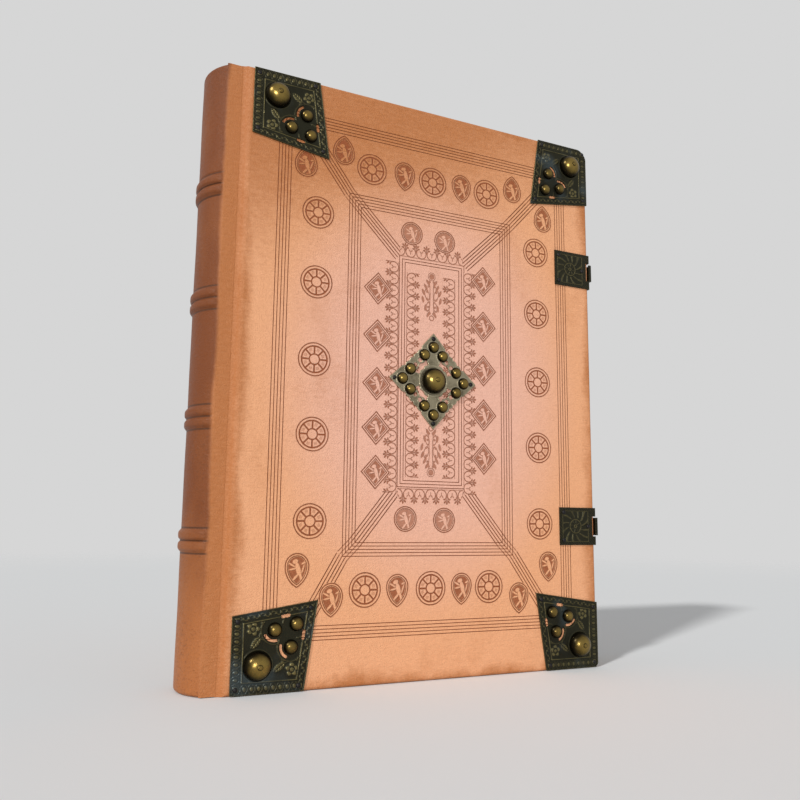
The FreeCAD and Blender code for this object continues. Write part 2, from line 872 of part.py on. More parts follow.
def centre_fittings():
    """The scalloped centre plate with twelve small bosses, its large boss and its nails."""
    middle = Vector(centre_x, 0, cover_height / 2)

    def at(u, v, depth=0.0):
        return middle + Vector(u, depth, v)

    core = centre_half - scallop_reach
    corners = [at(core, 0), at(0, core), at(-core, 0), at(0, -core)]
    pieces = [closed(corners).extrude(OUT * centre_thickness)]
    for side in range(4):
        angle = math.radians(90 * side)
        turn = Vector(math.cos(angle), 0, math.sin(angle))
        across = Vector(-math.sin(angle), 0, math.cos(angle))
        point = middle + turn * centre_half
        back = middle + turn * (centre_half - centre_point_length)
        corners = [point, back + across * centre_point_half, back - across * centre_point_half]
        pieces.append(closed(corners).extrude(OUT * centre_thickness))
        start = middle + turn * core
        end = middle + across * core
        for number in range(1, scallop_count):
            share = (number + 0.5) / (scallop_count + 1)
            place = start + (end - start) * share
            inward = (middle - place).normalize() * scallop_shift
            lobe = polygon(place + inward, OUT, scallop_radius, scallop_sides)
            pieces.append(lobe.extrude(OUT * centre_thickness))
    plate = fused(pieces)

    for side in range(4):
        angle = math.radians(90 * side)
        turn = Vector(math.cos(angle), 0, math.sin(angle))
        across = Vector(-math.sin(angle), 0, math.cos(angle))
        lift = OUT * centre_thickness
        for along, beside in ((petal_tip, 0), (petal_back, petal_side), (petal_back, -petal_side)):
            place = middle + turn * along + across * beside + lift
            boss = dome(place, petal_boss_radius, petal_boss_height, 0, small_boss_sides)
            plate = plate.fuse(boss)
        ring = Part.makeCylinder(
            centre_opening_outer, centre_thickness + 2, middle - OUT, OUT
        ).cut(Part.makeCylinder(centre_ring_radius, centre_thickness + 2, middle - OUT, OUT))
        first = math.radians(90 * side + 45 - centre_opening_angle / 2)
        last = math.radians(90 * side + 45 + centre_opening_angle / 2)
        reach = 2 * centre_opening_outer
        wedge_points = [
            middle - OUT,
            middle - OUT + Vector(math.cos(first), 0, math.sin(first)) * reach,
            middle - OUT + Vector(math.cos(last), 0, math.sin(last)) * reach,
        ]
        wedge = closed(wedge_points).extrude(
            OUT * (centre_thickness + 2)
        )
        plate = plate.cut(ring.common(wedge))

    drill = centre_thickness + 2
    nails = []
    for side in range(4):
        angle = math.radians(90 * side)
        place = middle + Vector(math.cos(angle), 0, math.sin(angle)) * centre_nail_place
        plate = plate.cut(square_bar(place - OUT, OUT, nail_size + 2 * fit_gap, drill))
        top = place + OUT * centre_thickness
        nails.append(nail(top, OUT, nail_head_radius, nail_size, centre_thickness + nail_length))
    plate = plate.cut(square_bar(middle - OUT, OUT, rivet_size + 2 * fit_gap, drill))
    export("centre_plate", plate.removeSplitter())
    export("centre_nails", Part.Compound(nails))

    base = middle + OUT * centre_thickness
    peak = base + OUT * centre_boss_height
    boss = dome(base, centre_boss_radius, centre_boss_height, large_boss_wall, large_boss_sides)
    through = square_bar(peak + OUT, -OUT, rivet_size + 2 * fit_gap, centre_boss_height + 2)
    export("centre_boss", boss.cut(through))
    length = centre_boss_height + centre_thickness + nail_length
    export("centre_boss_rivet", nail(peak, OUT, rivet_head_radius, rivet_size, length))


def catch_plates():
    """Two plates that fold over the fore-edge, each with a window for a clasp's hook."""
    left = cover_width - catch_length
    inside = cover_width + catch_gap
    outside = inside + catch_thickness
    top = -catch_thickness
    section = [
        Vector(left, 0, 0),
        Vector(inside, 0, 0),
        Vector(inside, catch_flange, 0),
        Vector(outside, catch_flange, 0),
        Vector(outside, top, 0),
        Vector(left, top, 0),
    ]
    blank = closed(section).extrude(UP * catch_height)
    bend = [
        e
        for e in blank.Edges
        if abs(e.CenterOfMass.x - outside) < 1e-6 and abs(e.CenterOfMass.y - top) < 1e-6
    ]
    blank = blank.makeFillet(catch_bend_radius, bend)
    half = catch_height / 2
    window = box(
        (cover_width - window_inset, outside + 1),
        (top - 1, window_drop),
        (half - window_height / 2, half + window_height / 2),
    )
    blank = blank.cut(window)
    nail_places = (
        (left + catch_nail_edge, catch_nail_edge),
        (left + catch_nail_edge, catch_height - catch_nail_edge),
        (cover_width - catch_nail_inset, half),
    )
    for x, z in nail_places:
        hole = square_bar(Vector(x, 1, z), OUT, nail_size + 2 * fit_gap, catch_thickness + 2)
        blank = blank.cut(hole)
    nails = []
    for name, z in zip(("lower", "upper"), clasp_z):
        plate = blank.copy()
        plate.translate(UP * (z - half))
        export("catch_plate_" + name, plate)
        for x, up in nail_places:
            place = Vector(x, top, z - half + up)
            nails.append(
                nail(place, OUT, nail_head_radius, nail_size, catch_thickness + nail_length)
            )
    export("catch_nails", Part.Compound(nails))


def clasps():
    """Two straps nailed to the back cover, each with a hook that reaches a catch plate."""
    inner = cover_width + hook_face
    outer = inner + hook_thickness
    sideways = Vector(1, 0, 0)
    finger_back = finger_depth + finger_thickness
    for name, z in zip(("lower", "upper"), clasp_z):
        half_finger = finger_width / 2
        half_hook = hook_width / 2
        throat = finger_back + throat_length
        shoulder = throat + shoulder_length
        outline = [
            Vector(inner, finger_depth, z - half_finger),
            Vector(inner, throat, z - half_finger),
            Vector(inner, shoulder, z - half_hook),
            Vector(inner, hook_length, z - half_hook),
            Vector(inner, hook_length, z + half_hook),
            Vector(inner, shoulder, z + half_hook),
            Vector(inner, throat, z + half_finger),
            Vector(inner, finger_depth, z + half_finger),
        ]
        hook = closed(outline).extrude(sideways * hook_thickness)
        finger = box(
            (inner - finger_length, inner),
            (finger_depth, finger_back),
            (z - half_finger, z + half_finger),
        )
        hook = hook.fuse(finger).removeSplitter()
        knuckle = [
            e
            for e in hook.Edges
            if abs(e.CenterOfMass.x - outer) < 1e-6
            and abs(e.CenterOfMass.y - finger_depth) < 1e-6
        ]
        hook = hook.makeFillet(hook_thickness * 0.8, knuckle)
        strap = box(
            (inner - strap_thickness, inner),
            (strap_end, book_thickness - strap_start),
            (z - strap_width / 2, z + strap_width / 2),
        )
        rivets = []
        for depth in hook_rivet_places:
            place = Vector(outer, depth, z)
            length = hook_thickness + strap_thickness
            rivet = nail(place, sideways, nail_head_radius, rivet_size, length)
            size = rivet_size + 2 * fit_gap
            drill = square_bar(place + sideways, -sideways, size, length + 2)
            hook = hook.cut(drill)
            strap = strap.cut(drill)
            rivets.append(rivet)
        export("clasp_hook_" + name, hook)
        export("clasp_strap_" + name, strap)
        export("clasp_rivets_" + name, Part.Compound(rivets))

    top = book_thickness + strap_thickness
    nails = []
    for name, z in zip(("lower", "upper"), clasp_z):
        tail = box(
            (cover_width - strap_anchor, cover_width),
            (book_thickness, top),
            (z - strap_width / 2, z + strap_width / 2),
        )
        for back in strap_nail_places:
            place = Vector(cover_width - back, top, z)
            size = nail_size + 2 * fit_gap
            tail = tail.cut(square_bar(place - OUT, OUT, size, strap_thickness + 2))
            nails.append(
                nail(place, -OUT, nail_head_radius, nail_size, strap_thickness + nail_length)
            )
        export("strap_anchor_" + name, tail)
    export("strap_nails", Part.Compound(nails))


def main():
    """Writes every node of the book."""
    os.makedirs("parts", exist_ok=True)
    covers()
    spine_leather()
    sewing_bands()
    text_block()
    endbands()
    corner_fittings()
    centre_fittings()
    catch_plates()
    clasps()


main()
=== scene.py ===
import math

import bpy
import numpy as np
from bpy.props import FloatProperty, FloatVectorProperty, IntProperty, PointerProperty
from mathutils import Matrix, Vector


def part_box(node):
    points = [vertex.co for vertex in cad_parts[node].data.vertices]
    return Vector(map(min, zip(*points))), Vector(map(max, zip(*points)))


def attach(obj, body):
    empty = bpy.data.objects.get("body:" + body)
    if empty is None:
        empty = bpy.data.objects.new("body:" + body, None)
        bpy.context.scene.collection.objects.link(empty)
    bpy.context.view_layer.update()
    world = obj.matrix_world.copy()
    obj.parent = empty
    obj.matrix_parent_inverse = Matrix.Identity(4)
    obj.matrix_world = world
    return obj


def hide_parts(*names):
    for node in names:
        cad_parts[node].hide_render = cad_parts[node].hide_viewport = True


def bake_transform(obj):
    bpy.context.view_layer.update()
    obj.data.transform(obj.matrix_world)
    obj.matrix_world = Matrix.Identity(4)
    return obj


bl_info = {
    "name": "Leather-bound codex",
    "version": (1, 0, 0),
    "blender": (4, 5, 0),
    "location": "3D View > Sidebar > Codex",
    "description": "Dresses the packed codex with its leather, tooling, leaves, metal fittings and stage",
    "category": "Object",
}

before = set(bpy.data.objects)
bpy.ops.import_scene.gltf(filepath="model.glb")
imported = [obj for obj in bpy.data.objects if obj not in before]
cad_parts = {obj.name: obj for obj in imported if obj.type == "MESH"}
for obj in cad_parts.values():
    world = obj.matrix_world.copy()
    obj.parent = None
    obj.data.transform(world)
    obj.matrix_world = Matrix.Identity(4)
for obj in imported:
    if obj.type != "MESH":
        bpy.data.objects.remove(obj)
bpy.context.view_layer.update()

# Millimetres are measured as on the drawing: x from the boards' spine edge to the fore-edge,
# y from the front cover's face to the back cover's, z from the tail edge to the head.
CORNER = np.array(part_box("front_leather")[0])
FAR_CORNER = np.array(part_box("back_leather")[1])
COVER_WIDTH, THICKNESS, COVER_HEIGHT = (FAR_CORNER - CORNER) * 1000
MIDDLE_Y = THICKNESS / 2

# Rounded spine
JOINT_WIDTH = 8.0
JOINT_DEPTH = 3.0
SPINE_ROUND = 10.2
HALF_SPINE = MIDDLE_Y - JOINT_DEPTH
SPINE_RADIUS = (HALF_SPINE**2 + SPINE_ROUND**2) / (2 * SPINE_ROUND)
SPINE_CENTRE = SPINE_RADIUS - JOINT_WIDTH - SPINE_ROUND
SPINE_ANGLE = math.asin(HALF_SPINE / SPINE_RADIUS)
BAND_PLACES = (85.7, 157.4, 229.1, 300.8)
BAND_HALF = 3.25
BAND_HEIGHT = 1.6
CAP_DEPTH = 5.0

# Corner plates, measured from the plate's outer corner
PLATE_EDGE = 7.4
PLATE_INSET = 0.3
PLATE_SIDE = 43.5
PLATE_TIP = 51.0
PLATE_THICKNESS = 0.8
PLATE_BORDER = 6.3
INNER_BORDER = 5.0
BOSS_PLACE = 15.5
BOSS_RADIUS = 8.3
BOSS_HEIGHT = 6.4
KNOB_PLACES = ((25.0, 35.0), (35.0, 25.0), (38.0, 38.0))
KNOB_RADIUS = 4.3
KNOB_HEIGHT = 3.2
CORNERS = {
    "tail_spine": (1, 1, 0.0),
    "tail_fore": (-1, 1, 3.0),
    "head_spine": (1, -1, 0.0),
    "head_fore": (-1, -1, 8.0),
}

# Centre plate, measured from its middle
CENTRE = (COVER_WIDTH / 2 + 2.2, COVER_HEIGHT / 2)
CENTRE_HALF = 32.0
CENTRE_THICKNESS = 0.9
CENTRE_BOSS_RADIUS = 8.6
CENTRE_BOSS_HEIGHT = 6.6
PETAL_PLACES = ((22.7, 0.0), (17.0, 6.7), (17.0, -6.7))
PETAL_RADIUS = 3.9
PETAL_HEIGHT = 2.9

# Nails
NAIL_RADIUS = 1.5
NAIL_HEIGHT = 0.8
NAIL_INSET = 3.2
TIP_NAIL_INSET = 4.3
CENTRE_NAIL_REACH = 28.4
RIVET_RADIUS = 1.7
CATCH_LEFT = 235.5
CATCH_TOP = -0.85
CATCH_HALF = 13.0
CLASP_HEIGHTS = (96.2, COVER_HEIGHT - 96.2)

# Lines tooled into the front cover: insets at the spine, fore-edge, tail and head
INNER_FRAME = (73.4, 69.4, 76.6, 71.0)
PANEL = (109.8, 107.0, 119.8, 107.4)
LINE_PITCH = 2.05

# Middles of the stamps on the front cover
WHEELS = [
    (x, COVER_HEIGHT / 2 + step) for x in (52.2, COVER_WIDTH - 47.0) for step in (-92.5, -40, 6.5, 56, 101.8)
]
WHEELS += [(COVER_WIDTH / 2 + step, z) for z in (56.3, COVER_HEIGHT - 51.6) for step in (-44.1, 1.4, 44.7)]
DROPS_UP = ((68.7, 338.1), (199.2, 336.8), (43.2, 324.6), (225.6, 319.1))
DROPS_DOWN = (
    (113.1, 329.2),
    (157.0, 329.2),
    (45.0, 69.5),
    (225.6, 69.5),
    (66.9, 51.8),
    (201.2, 49.3),
    (110.8, 56.3),
    (156.8, 56.3),
)
DIAMONDS = (
    (94.6, 247.7),
    (94.6, 216.3),
    (94.6, 184.9),
    (94.6, 156.3),
    (94.6, 128.5),
    (174.3, 263.6),
    (174.3, 231.5),
    (174.3, 200.6),
    (174.3, 170.0),
    (174.3, 140.4),
)
ROUNDS = ((118.8, 289.2), (143.9, 287.4), (115.9, 99.6), (143.9, 99.1))
# Palmette rows: one end and the other, and which side of the row the flowers point to
ROWS = (
    ((104.5, 116.0), (104.5, 268.0), 1),
    ((163.5, 268.0), (163.5, 116.0), 1),
    ((120.2, 126.0), (120.2, 262.0), -1),
    ((147.2, 262.0), (147.2, 126.0), -1),
    ((110.0, 277.2), (158.0, 277.2), 1),
    ((158.0, 114.0), (110.0, 114.0), 1),
)
ROW_PITCH = 8.0
DROP_RADIUS = 7.3
DROP_REACH = 6.6
BIG_PALMETTES = ((134.0, 246.7, 1), (134.0, 144.2, -1))

# Leaves of a tall palmette: height, reach to the side and turn in degrees
PALMETTE_LEAVES = (
    (10.2, 2.7, -35),
    (7.0, 4.4, -30),
    (3.2, 6.2, -24),
    (-1.8, 6.6, -14),
    (-7.2, 4.6, 10),
    (-11.6, 2.4, 28),
)

# Kinds of ray that see the backdrop's own colour
RAYS_TO_BACKDROP = ("Camera", "Glossy", "Transmission")


def place(points):
    """Drawing millimetres as the scene's metres."""
    return CORNER + np.asarray(points, dtype=float) / 1000


class CodexSizes(bpy.types.PropertyGroup):
    grain_depth: FloatProperty(
        name="Grain depth",
        description="Depth of the leather's fine grain",
        default=0.00022,
        min=0,
        unit="LENGTH",
    )
    stamp_depth: FloatProperty(
        name="Stamp depth",
        description="Depth of the blind stamps in the front cover",
        default=0.0004,
        min=0,
        unit="LENGTH",
    )
    stamp_lift: FloatProperty(
        name="Stamp lift",
        description="How far the stamped patches lie over the cover's face",
        default=0.00004,
        min=0,
        unit="LENGTH",
    )
    plate_cells: IntProperty(
        name="Plate cells",
        description="Cells along each side of an embossed corner plate",
        default=130,
        min=40,
        max=200,
    )
    dome_sides: IntProperty(
        name="Dome sides",
        description="Facets round each large boss",
        default=48,
        min=12,
        max=96,
    )


def colour(name, meaning, red, green, blue):
    """A colour that the panel shows."""
    return FloatVectorProperty(name=name, description=meaning, default=(red, green, blue), subtype="COLOR")


class CodexColours(bpy.types.PropertyGroup):
    tan: colour("Tan leather", "Colour of the clean covering leather", 0.78, 0.385, 0.200)
    rosy: colour("Rosy leather", "Pinker colour in the middle of both covers", 0.79, 0.45, 0.345)
    # The browned colour also carries the painted shade towards the head and in the joint's groove.
    brown: colour(
        "Browned leather", "Colour of leather that hands and light have browned", 0.44, 0.155, 0.045
    )
    # The spine colour is partly browned leather and partly painted shade of the spine's side.
    spine: colour(
        "Spine leather", "Colour of the spine, which light has darkened most", 0.15, 0.036, 0.005
    )
    tooled: colour("Tooled leather", "Colour at the bottom of lines and stamps", 0.26, 0.062, 0.016)
    bronze: colour("Dark bronze", "Colour of the embossed plates", 0.028, 0.027, 0.016)
    rubbed_bronze: colour("Rubbed bronze", "Colour of the plates' rubbed relief", 0.17, 0.142, 0.058)
    # On the bosses brass runs from bright tops to dark feet, partly tarnish and partly painted light and
    # shade.
    brass: colour("Brass", "Colour of the bosses' bright tops", 0.30, 0.205, 0.055)
    tarnish_and_painted_shade_brass: colour("Tarnished brass", "Colour at the bosses' feet", 0.016, 0.012, 0.005)
    pale_brass: colour("Pale brass", "Colour of the centre plate", 0.33, 0.285, 0.19)
    iron: colour("Nail iron", "Colour of the nails", 0.020, 0.019, 0.019)
    paper: colour("Leaf paper", "Colour of the leaves", 0.78, 0.70, 0.54)
    wood: colour("Board wood", "Colour of the boards", 0.33, 0.19, 0.09)
    backdrop: colour("Backdrop", "Colour of the floor and what stands behind it", 0.672, 0.672, 0.672)


class Value:
    """A number that varies over a surface. Arithmetic on it adds Math nodes to its material."""

    def __init__(self, finish, socket):
        self.finish = finish
        self.socket = socket

    def maths(self, operation, *others):
        inputs = dict(enumerate((self,) + others))
        node = self.finish.node("ShaderNodeMath", {"operation": operation}, inputs)
        return Value(self.finish, node.outputs[0])

    def __add__(self, other):
        return self.maths("ADD", other)

    def __radd__(self, other):
        return self.maths("ADD", other)

    def __sub__(self, other):
        return self.maths("SUBTRACT", other)

    def __rsub__(self, other):
        return (self * -1).maths("ADD", other)

    def __mul__(self, other):
        return self.maths("MULTIPLY", other)

    def __rmul__(self, other):
        return self.maths("MULTIPLY", other)

    def __truediv__(self, other):
        return self.maths("DIVIDE", other)

    def __abs__(self):
        return self.maths("ABSOLUTE")

    def lower(self, other):
        return self.maths("MINIMUM", other)

    def higher(self, other):
        return self.maths("MAXIMUM", other)

    def root(self):
        return self.maths("SQRT")

    def sine(self):
        return self.maths("SINE")

    def near(self, pitch):
        """Distance from the nearest whole multiple of a pitch, with its sign."""
        return self - (self / pitch).maths("ROUND") * pitch

    def fade(self, start, end, low=0.0, high=1.0):
        """Turns smoothly from low to high while the number goes from start to end."""
        settings = {"interpolation_type": "SMOOTHSTEP"}
        values = {"Value": self, "From Min": start, "From Max": end, "To Min": low, "To Max": high}
        if start > end:
            values.update({"From Min": end, "From Max": start, "To Min": high, "To Max": low})
        return Value(self.finish, self.finish.node("ShaderNodeMapRange", settings, values).outputs[0])


class Finish:
    """One material and the nodes that make it."""

    def __init__(self, name):
        self.material = bpy.data.materials.new(name)
        self.material.use_nodes = True
        self.nodes = self.material.node_tree.nodes
        self.links = self.material.node_tree.links
        self.shader = self.nodes["Principled BSDF"]
        self.object_place = self.node("ShaderNodeTexCoord").outputs["Object"]

    def node(self, kind, settings=None, values=None):
        """Adds a node: its settings first, then a number, colour or link for each named socket."""
        node = self.nodes.new(kind)
        for name, setting in (settings or {}).items():
            setattr(node, name, setting)
        for name, value in (values or {}).items():
            self.feed(node.inputs[name], value)
        return node

    def feed(self, socket, value):
        """Gives a socket a fixed value or links it to a node."""
        if isinstance(value, Value):
            value = value.socket
        if isinstance(value, bpy.types.NodeSocket):
            self.links.new(value, socket)
        elif hasattr(socket.default_value, "__len__") and len(socket.default_value) == 4 and len(value) == 3:
            socket.default_value = (*value, 1)
        else:
            socket.default_value = value

    def axes(self):
        """Drawing millimetres of the shaded point, as three numbers."""
        parts = self.node("ShaderNodeSeparateXYZ", None, {0: self.object_place}).outputs
        return [Value(self, parts[i]) * 1000 - float(CORNER[i]) * 1000 for i in range(3)]

    def own_axes(self):
        """The piece's own two directions along its surface, from its UV map."""
        across = self.node("ShaderNodeUVMap", {"uv_map": "pattern"}).outputs[0]
        parts = self.node("ShaderNodeSeparateXYZ", None, {0: across}).outputs
        return Value(self, parts[0]), Value(self, parts[1])

    def relief(self):
        """How high the shaded point stands in the piece's relief, from 0 to 1."""
        return Value(self, self.node("ShaderNodeAttribute", {"attribute_name": "relief"}).outputs["Fac"])

    def noise(self, scale, detail=3.0, rough=0.5, stretch=(1, 1, 1)):
        """Soft noise of about zero to one over the object, with features of 1 / scale metres."""
        mapping = self.node("ShaderNodeMapping", None, {"Vector": self.object_place, "Scale": stretch})
        values = {"Vector": mapping.outputs[0], "Scale": scale, "Detail": detail, "Roughness": rough}
        return Value(self, self.node("ShaderNodeTexNoise", None, values).outputs["Fac"])

    def cells(self, scale):
        """Distance from the middles of scattered cells."""
        values = {"Vector": self.object_place, "Scale": scale}
        return Value(self, self.node("ShaderNodeTexVoronoi", None, values).outputs["Distance"])

    def blend(self, share, start, end):
        """Goes from one colour to another as share goes from 0 to 1."""
        node = self.node("ShaderNodeMix", {"data_type": "RGBA"})
        self.feed(node.inputs[0], share)
        self.feed(node.inputs[6], start)
        self.feed(node.inputs[7], end)
        return node.outputs[2]

    def bump(self, height, distance, under=None):
        """A normal that is raised by height times distance, over an earlier one."""
        values = {"Height": height, "Distance": distance}
        if under is not None:
            values["Normal"] = under
        return self.node("ShaderNodeBump", None, values).outputs[0]

    def set(self, **sockets):
        """Feeds the main shader's sockets, named with _ for a space."""
        for name, value in sockets.items():
            self.feed(self.shader.inputs[name.replace("_", " ")], value)
        return self.material


class Backdrop(Finish):
    """The world and the nodes that make it."""

    def __init__(self, world):
        self.material = world
        self.nodes = world.node_tree.nodes
        self.links = world.node_tree.links


def line(distance, width):
    """1 on a line of a width where distance is 0, and 0 away from it."""
    return abs(distance).fade(width * 0.5 + 0.16, width * 0.5 - 0.16)


def inside(distance, soft=0.2):
    """1 where a signed distance is below 0."""
    return distance.fade(soft, -soft)


def ellipse(u, v, middle, radii, turn=0.0):
    """About the signed distance from an ellipse turned by degrees."""
    c = math.cos(math.radians(turn))
    s = math.sin(math.radians(turn))
    du = u - middle[0]
    dv = v - middle[1]
    a = (du * c + dv * s) / radii[0]
    b = (dv * c - du * s) / radii[1]
    return ((a * a + b * b).root() - 1) * min(radii)


def circle(u, v, middle, radius):
    """Signed distance from a circle."""
    du = u - middle[0]
    dv = v - middle[1]
    return (du * du + dv * dv).root() - radius


def joined(distances):
    """Signed distance from shapes taken together."""
    whole = distances[0]
    for other in distances[1:]:
        whole = whole.lower(other)
    return whole


def rampant_beast(u, v):
    """A small beast on its hind legs, made of ellipses: body, head, legs and a curled tail."""
    return joined(
        [
            ellipse(u, v, (0.6, -0.4), (1.25, 3.3), 14),
            ellipse(u, v, (-0.9, 3.3), (1.5, 1.1), 20),
            ellipse(u, v, (-2.6, 1.6), (2.1, 0.55), -28),
            ellipse(u, v, (-2.2, -0.4), (1.9, 0.5), 12),
            ellipse(u, v, (-0.6, -4.3), (2.3, 0.6), 48),
            ellipse(u, v, (2.0, -4.2), (0.7, 2.1), 12),
            ellipse(u, v, (3.1, -0.4), (0.45, 2.4), -18),
            ellipse(u, v, (3.3, 2.5), (1.1, 0.5), 30),
        ]
    )


def leather_looks(finish, darkened=0.0):
    """Colour, roughness and height of the old tan leather before any tool touched it.

    Stains are slow noise, a browned rim follows the board's edges, the head is browner, partly browned and
    partly painted shade, the joint's groove has painted shade, and the grain is small cells in short level
    wrinkles. Darkened goes from 0 on a cover to 1 on the spine, whose darker colour is partly browning and
    partly painted shade.
    """
    colours = bpy.context.scene.codex_colours
    x, y, z = finish.axes()
    edge = (x - 4).lower(COVER_WIDTH - x).lower(z).lower(COVER_HEIGHT - z)
    cloud = finish.noise(9, 4, 0.55)
    blotch = finish.noise(31, 4, 0.6, (1, 1, 0.45))
    speck = finish.noise(420, 3, 0.7)
    wrinkle = finish.noise(520, 3, 0.65, (0.4, 1, 1.5))
    dx = x - CENTRE[0]
    dz = z - CENTRE[1]
    middle = (dx * dx / 9000 + dz * dz / 16000).fade(1.7, 0.1)
    colour = finish.blend(middle, colours.tan, colours.rosy)
    rim = (edge + (blotch - 0.5) * 26).fade(13, -3)
    # Browner towards the head and the spine side: partly browned leather, partly painted shade where the
    # light falls off.
    head = (z + (cloud - 0.5) * 70 - x * 0.35).fade(205, 335)
    # Painted shade in the joint's groove, between the spine and the board.
    painted_joint_shade = abs(x - 2.6 + (blotch - 0.5) * 3).fade(5.2, 1.6)
    side = abs(y - MIDDLE_Y).fade(MIDDLE_Y - 0.6, MIDDLE_Y - 3.5)
    stain = (cloud * 0.6 + blotch * 0.4).fade(0.5, 0.68)
    browned = (rim * 0.85).higher(head * 0.78).higher(painted_joint_shade * 0.6).higher(stain * 0.34).higher(side * 0.6)
    browned = browned + (speck - 0.5) * 0.2 + (wrinkle - 0.5) * 0.42
    colour = finish.blend(browned.fade(0.0, 1.0), colour, colours.brown)
    if darkened:
        # The spine's dark colour is partly browned leather and partly painted shade of a side that takes less
        # light.
        shade = (x + (blotch - 0.5) * 5).fade(-6.8, -9.6)
        low = (z + (cloud - 0.5) * 70).fade(130, 20)
        tone = finish.blend(low * 0.75 + (blotch - 0.5) * 0.6, colours.spine, colours.brown)
        tone = finish.blend((wrinkle * 0.6 + cloud * 0.4).fade(0.5, 0.66) * 0.55, tone, (0.09, 0.022, 0.004))
        band = abs((z - BAND_PLACES[0]).near(BAND_PLACES[1] - BAND_PLACES[0]))
        lines = line(band - 7.3, 1.1).higher(line(band, 1.0)) * abs(z - COVER_HEIGHT / 2).fade(160, 150)
        tone = finish.blend(lines * 0.9, tone, (0.035, 0.010, 0.003))
        colour = finish.blend(shade * darkened, colour, tone)
    grain = finish.cells(1500).fade(0.0, 0.75)
    pores = finish.noise(3800, 2, 0.6)
    height = grain * 0.6 + pores * 0.5 + wrinkle * 1.6 + finish.noise(190, 3, 0.6) * 0.8
    colour = finish.blend((1 - grain) * 0.10 + (speck - 0.45).higher(0) * 0.25, colour, colours.tooled)
    roughness = 0.50 + (speck - 0.5) * 0.25 + browned * -0.06
    return colour, roughness, height


def band_of_lines(x, z, start, stop):
    """Five parallel lines from one place of the front cover to another."""
    run = math.dist(start, stop)
    along_x = (stop[0] - start[0]) / run
    along_z = (stop[1] - start[1]) / run
    along = (x - start[0]) * along_x + (z - start[1]) * along_z
    beside = (x - start[0]) * along_z - (z - start[1]) * along_x
    width = line(beside.near(LINE_PITCH), 0.5) * inside(abs(beside) - LINE_PITCH * 2.4)
    return width * inside(abs(along - run / 2) - run / 2, 0.3)


def diagonals(x, z):
    """The bands of lines between the corner plates, the inner frame's corners and the middle panel's."""
    found = None
    for side in (0, 1):
        plate_x = PLATE_EDGE + PLATE_TIP if side == 0 else COVER_WIDTH - PLATE_INSET - PLATE_TIP
        inner_x = INNER_FRAME[0] if side == 0 else COVER_WIDTH - INNER_FRAME[1]
        panel_x = PANEL[0] if side == 0 else COVER_WIDTH - PANEL[1]
        step_x = LINE_PITCH * 4 * (1 - 2 * side)
        for end in (0, 1):
            plate_z = PLATE_INSET + PLATE_TIP if end == 0 else COVER_HEIGHT - PLATE_INSET - PLATE_TIP
            inner_z = INNER_FRAME[2] if end == 0 else COVER_HEIGHT - INNER_FRAME[3]
            panel_z = PANEL[2] if end == 0 else COVER_HEIGHT - PANEL[3]
            step_z = LINE_PITCH * 4 * (1 - 2 * end)
            under = (plate_x + (plate_x - inner_x) * 0.4, plate_z + (plate_z - inner_z) * 0.4)
            outside = band_of_lines(x, z, under, (inner_x, inner_z))
            across = band_of_lines(x, z, (inner_x, inner_z), (inner_x + step_x, inner_z + step_z))
            within = band_of_lines(x, z, (inner_x + step_x, inner_z + step_z), (panel_x, panel_z))
            band = outside.higher(across * 0.8).higher(within)
            found = band if found is None else found.higher(band)
    return found


def finish_leather(finish, colour, roughness, height, pressed=None):
    """Joins the leather's looks and any pressed pattern in one material."""
    colours = bpy.context.scene.codex_colours
    sizes = bpy.context.scene.codex_sizes
    normal = finish.bump(height, sizes.grain_depth)
    if pressed is not None:
        shade = pressed * (0.8 + finish.noise(700, 2, 0.6) * 0.35)
        colour = finish.blend(shade.lower(1.0), colour, colours.tooled)
        normal = finish.bump(pressed * -1, sizes.stamp_depth, normal)
    return finish.set(Specular_IOR_Level=0.28, Base_Color=colour, Roughness=roughness, Normal=normal)


def tan_leather():
    """The covering leather. What the tools pressed below the face is darker."""
    finish = Finish("tan_leather")
    colour, roughness, height = leather_looks(finish)
    x, y, z = finish.axes()
    field = (x - 16).lower(COVER_WIDTH - 8 - x).lower(z - 14).lower(COVER_HEIGHT - 14 - z).fade(0, 1)
    deep = y.fade(0.03, 0.2) * y.fade(2.0, 1.0) * field
    drawn = diagonals(x, z) * y.fade(0.6, 0.4)
    return finish_leather(finish, colour, roughness, height, deep.higher(drawn))


def plain_leather(name):
    """The covering leather of the spine and the joints, where no tool touched it."""
    finish = Finish(name)
    return finish_leather(finish, *leather_looks(finish, 0.92))


def stamped_leather(name, pattern):
    """Leather with a pattern pressed in, drawn in the piece's own two directions in millimetres."""
    finish = Finish(name)
    colour, roughness, height = leather_looks(finish)
    u, v = finish.own_axes()
    wobble = (finish.noise(260, 2, 0.5) - 0.5) * 0.35
    return finish_leather(finish, colour, roughness, height, pattern(u + wobble, v + wobble))


def drop_pattern(u, v, way):
    """A pointed drop: two circle arcs over a half circle, doubled, with a small beast on a sunk ground."""
    ball = (u * u + v * v).root() - DROP_RADIUS
    side = abs(u) + DROP_REACH
    arch = (side * side + v * v).root() - (DROP_REACH + DROP_RADIUS)
    drop = ball * v.fade(0.01, -0.01) + arch * v.fade(-0.01, 0.01)
    beast = rampant_beast(u * way * 0.84, (v - 1.2) * way * 0.84)
    ground = inside(drop + 1.9) * (1 - inside(beast))
    return line(drop, 0.6).higher(line(drop + 1.3, 0.45)).higher(ground * 0.9)


def drop_up_pattern(u, v):
    """A drop with its point towards the head."""
    return drop_pattern(u, v, 1.0)


def drop_down_pattern(u, v):
    """A drop with its point towards the tail, whose beast still stands upright."""
    return drop_pattern(u, v, -1.0)


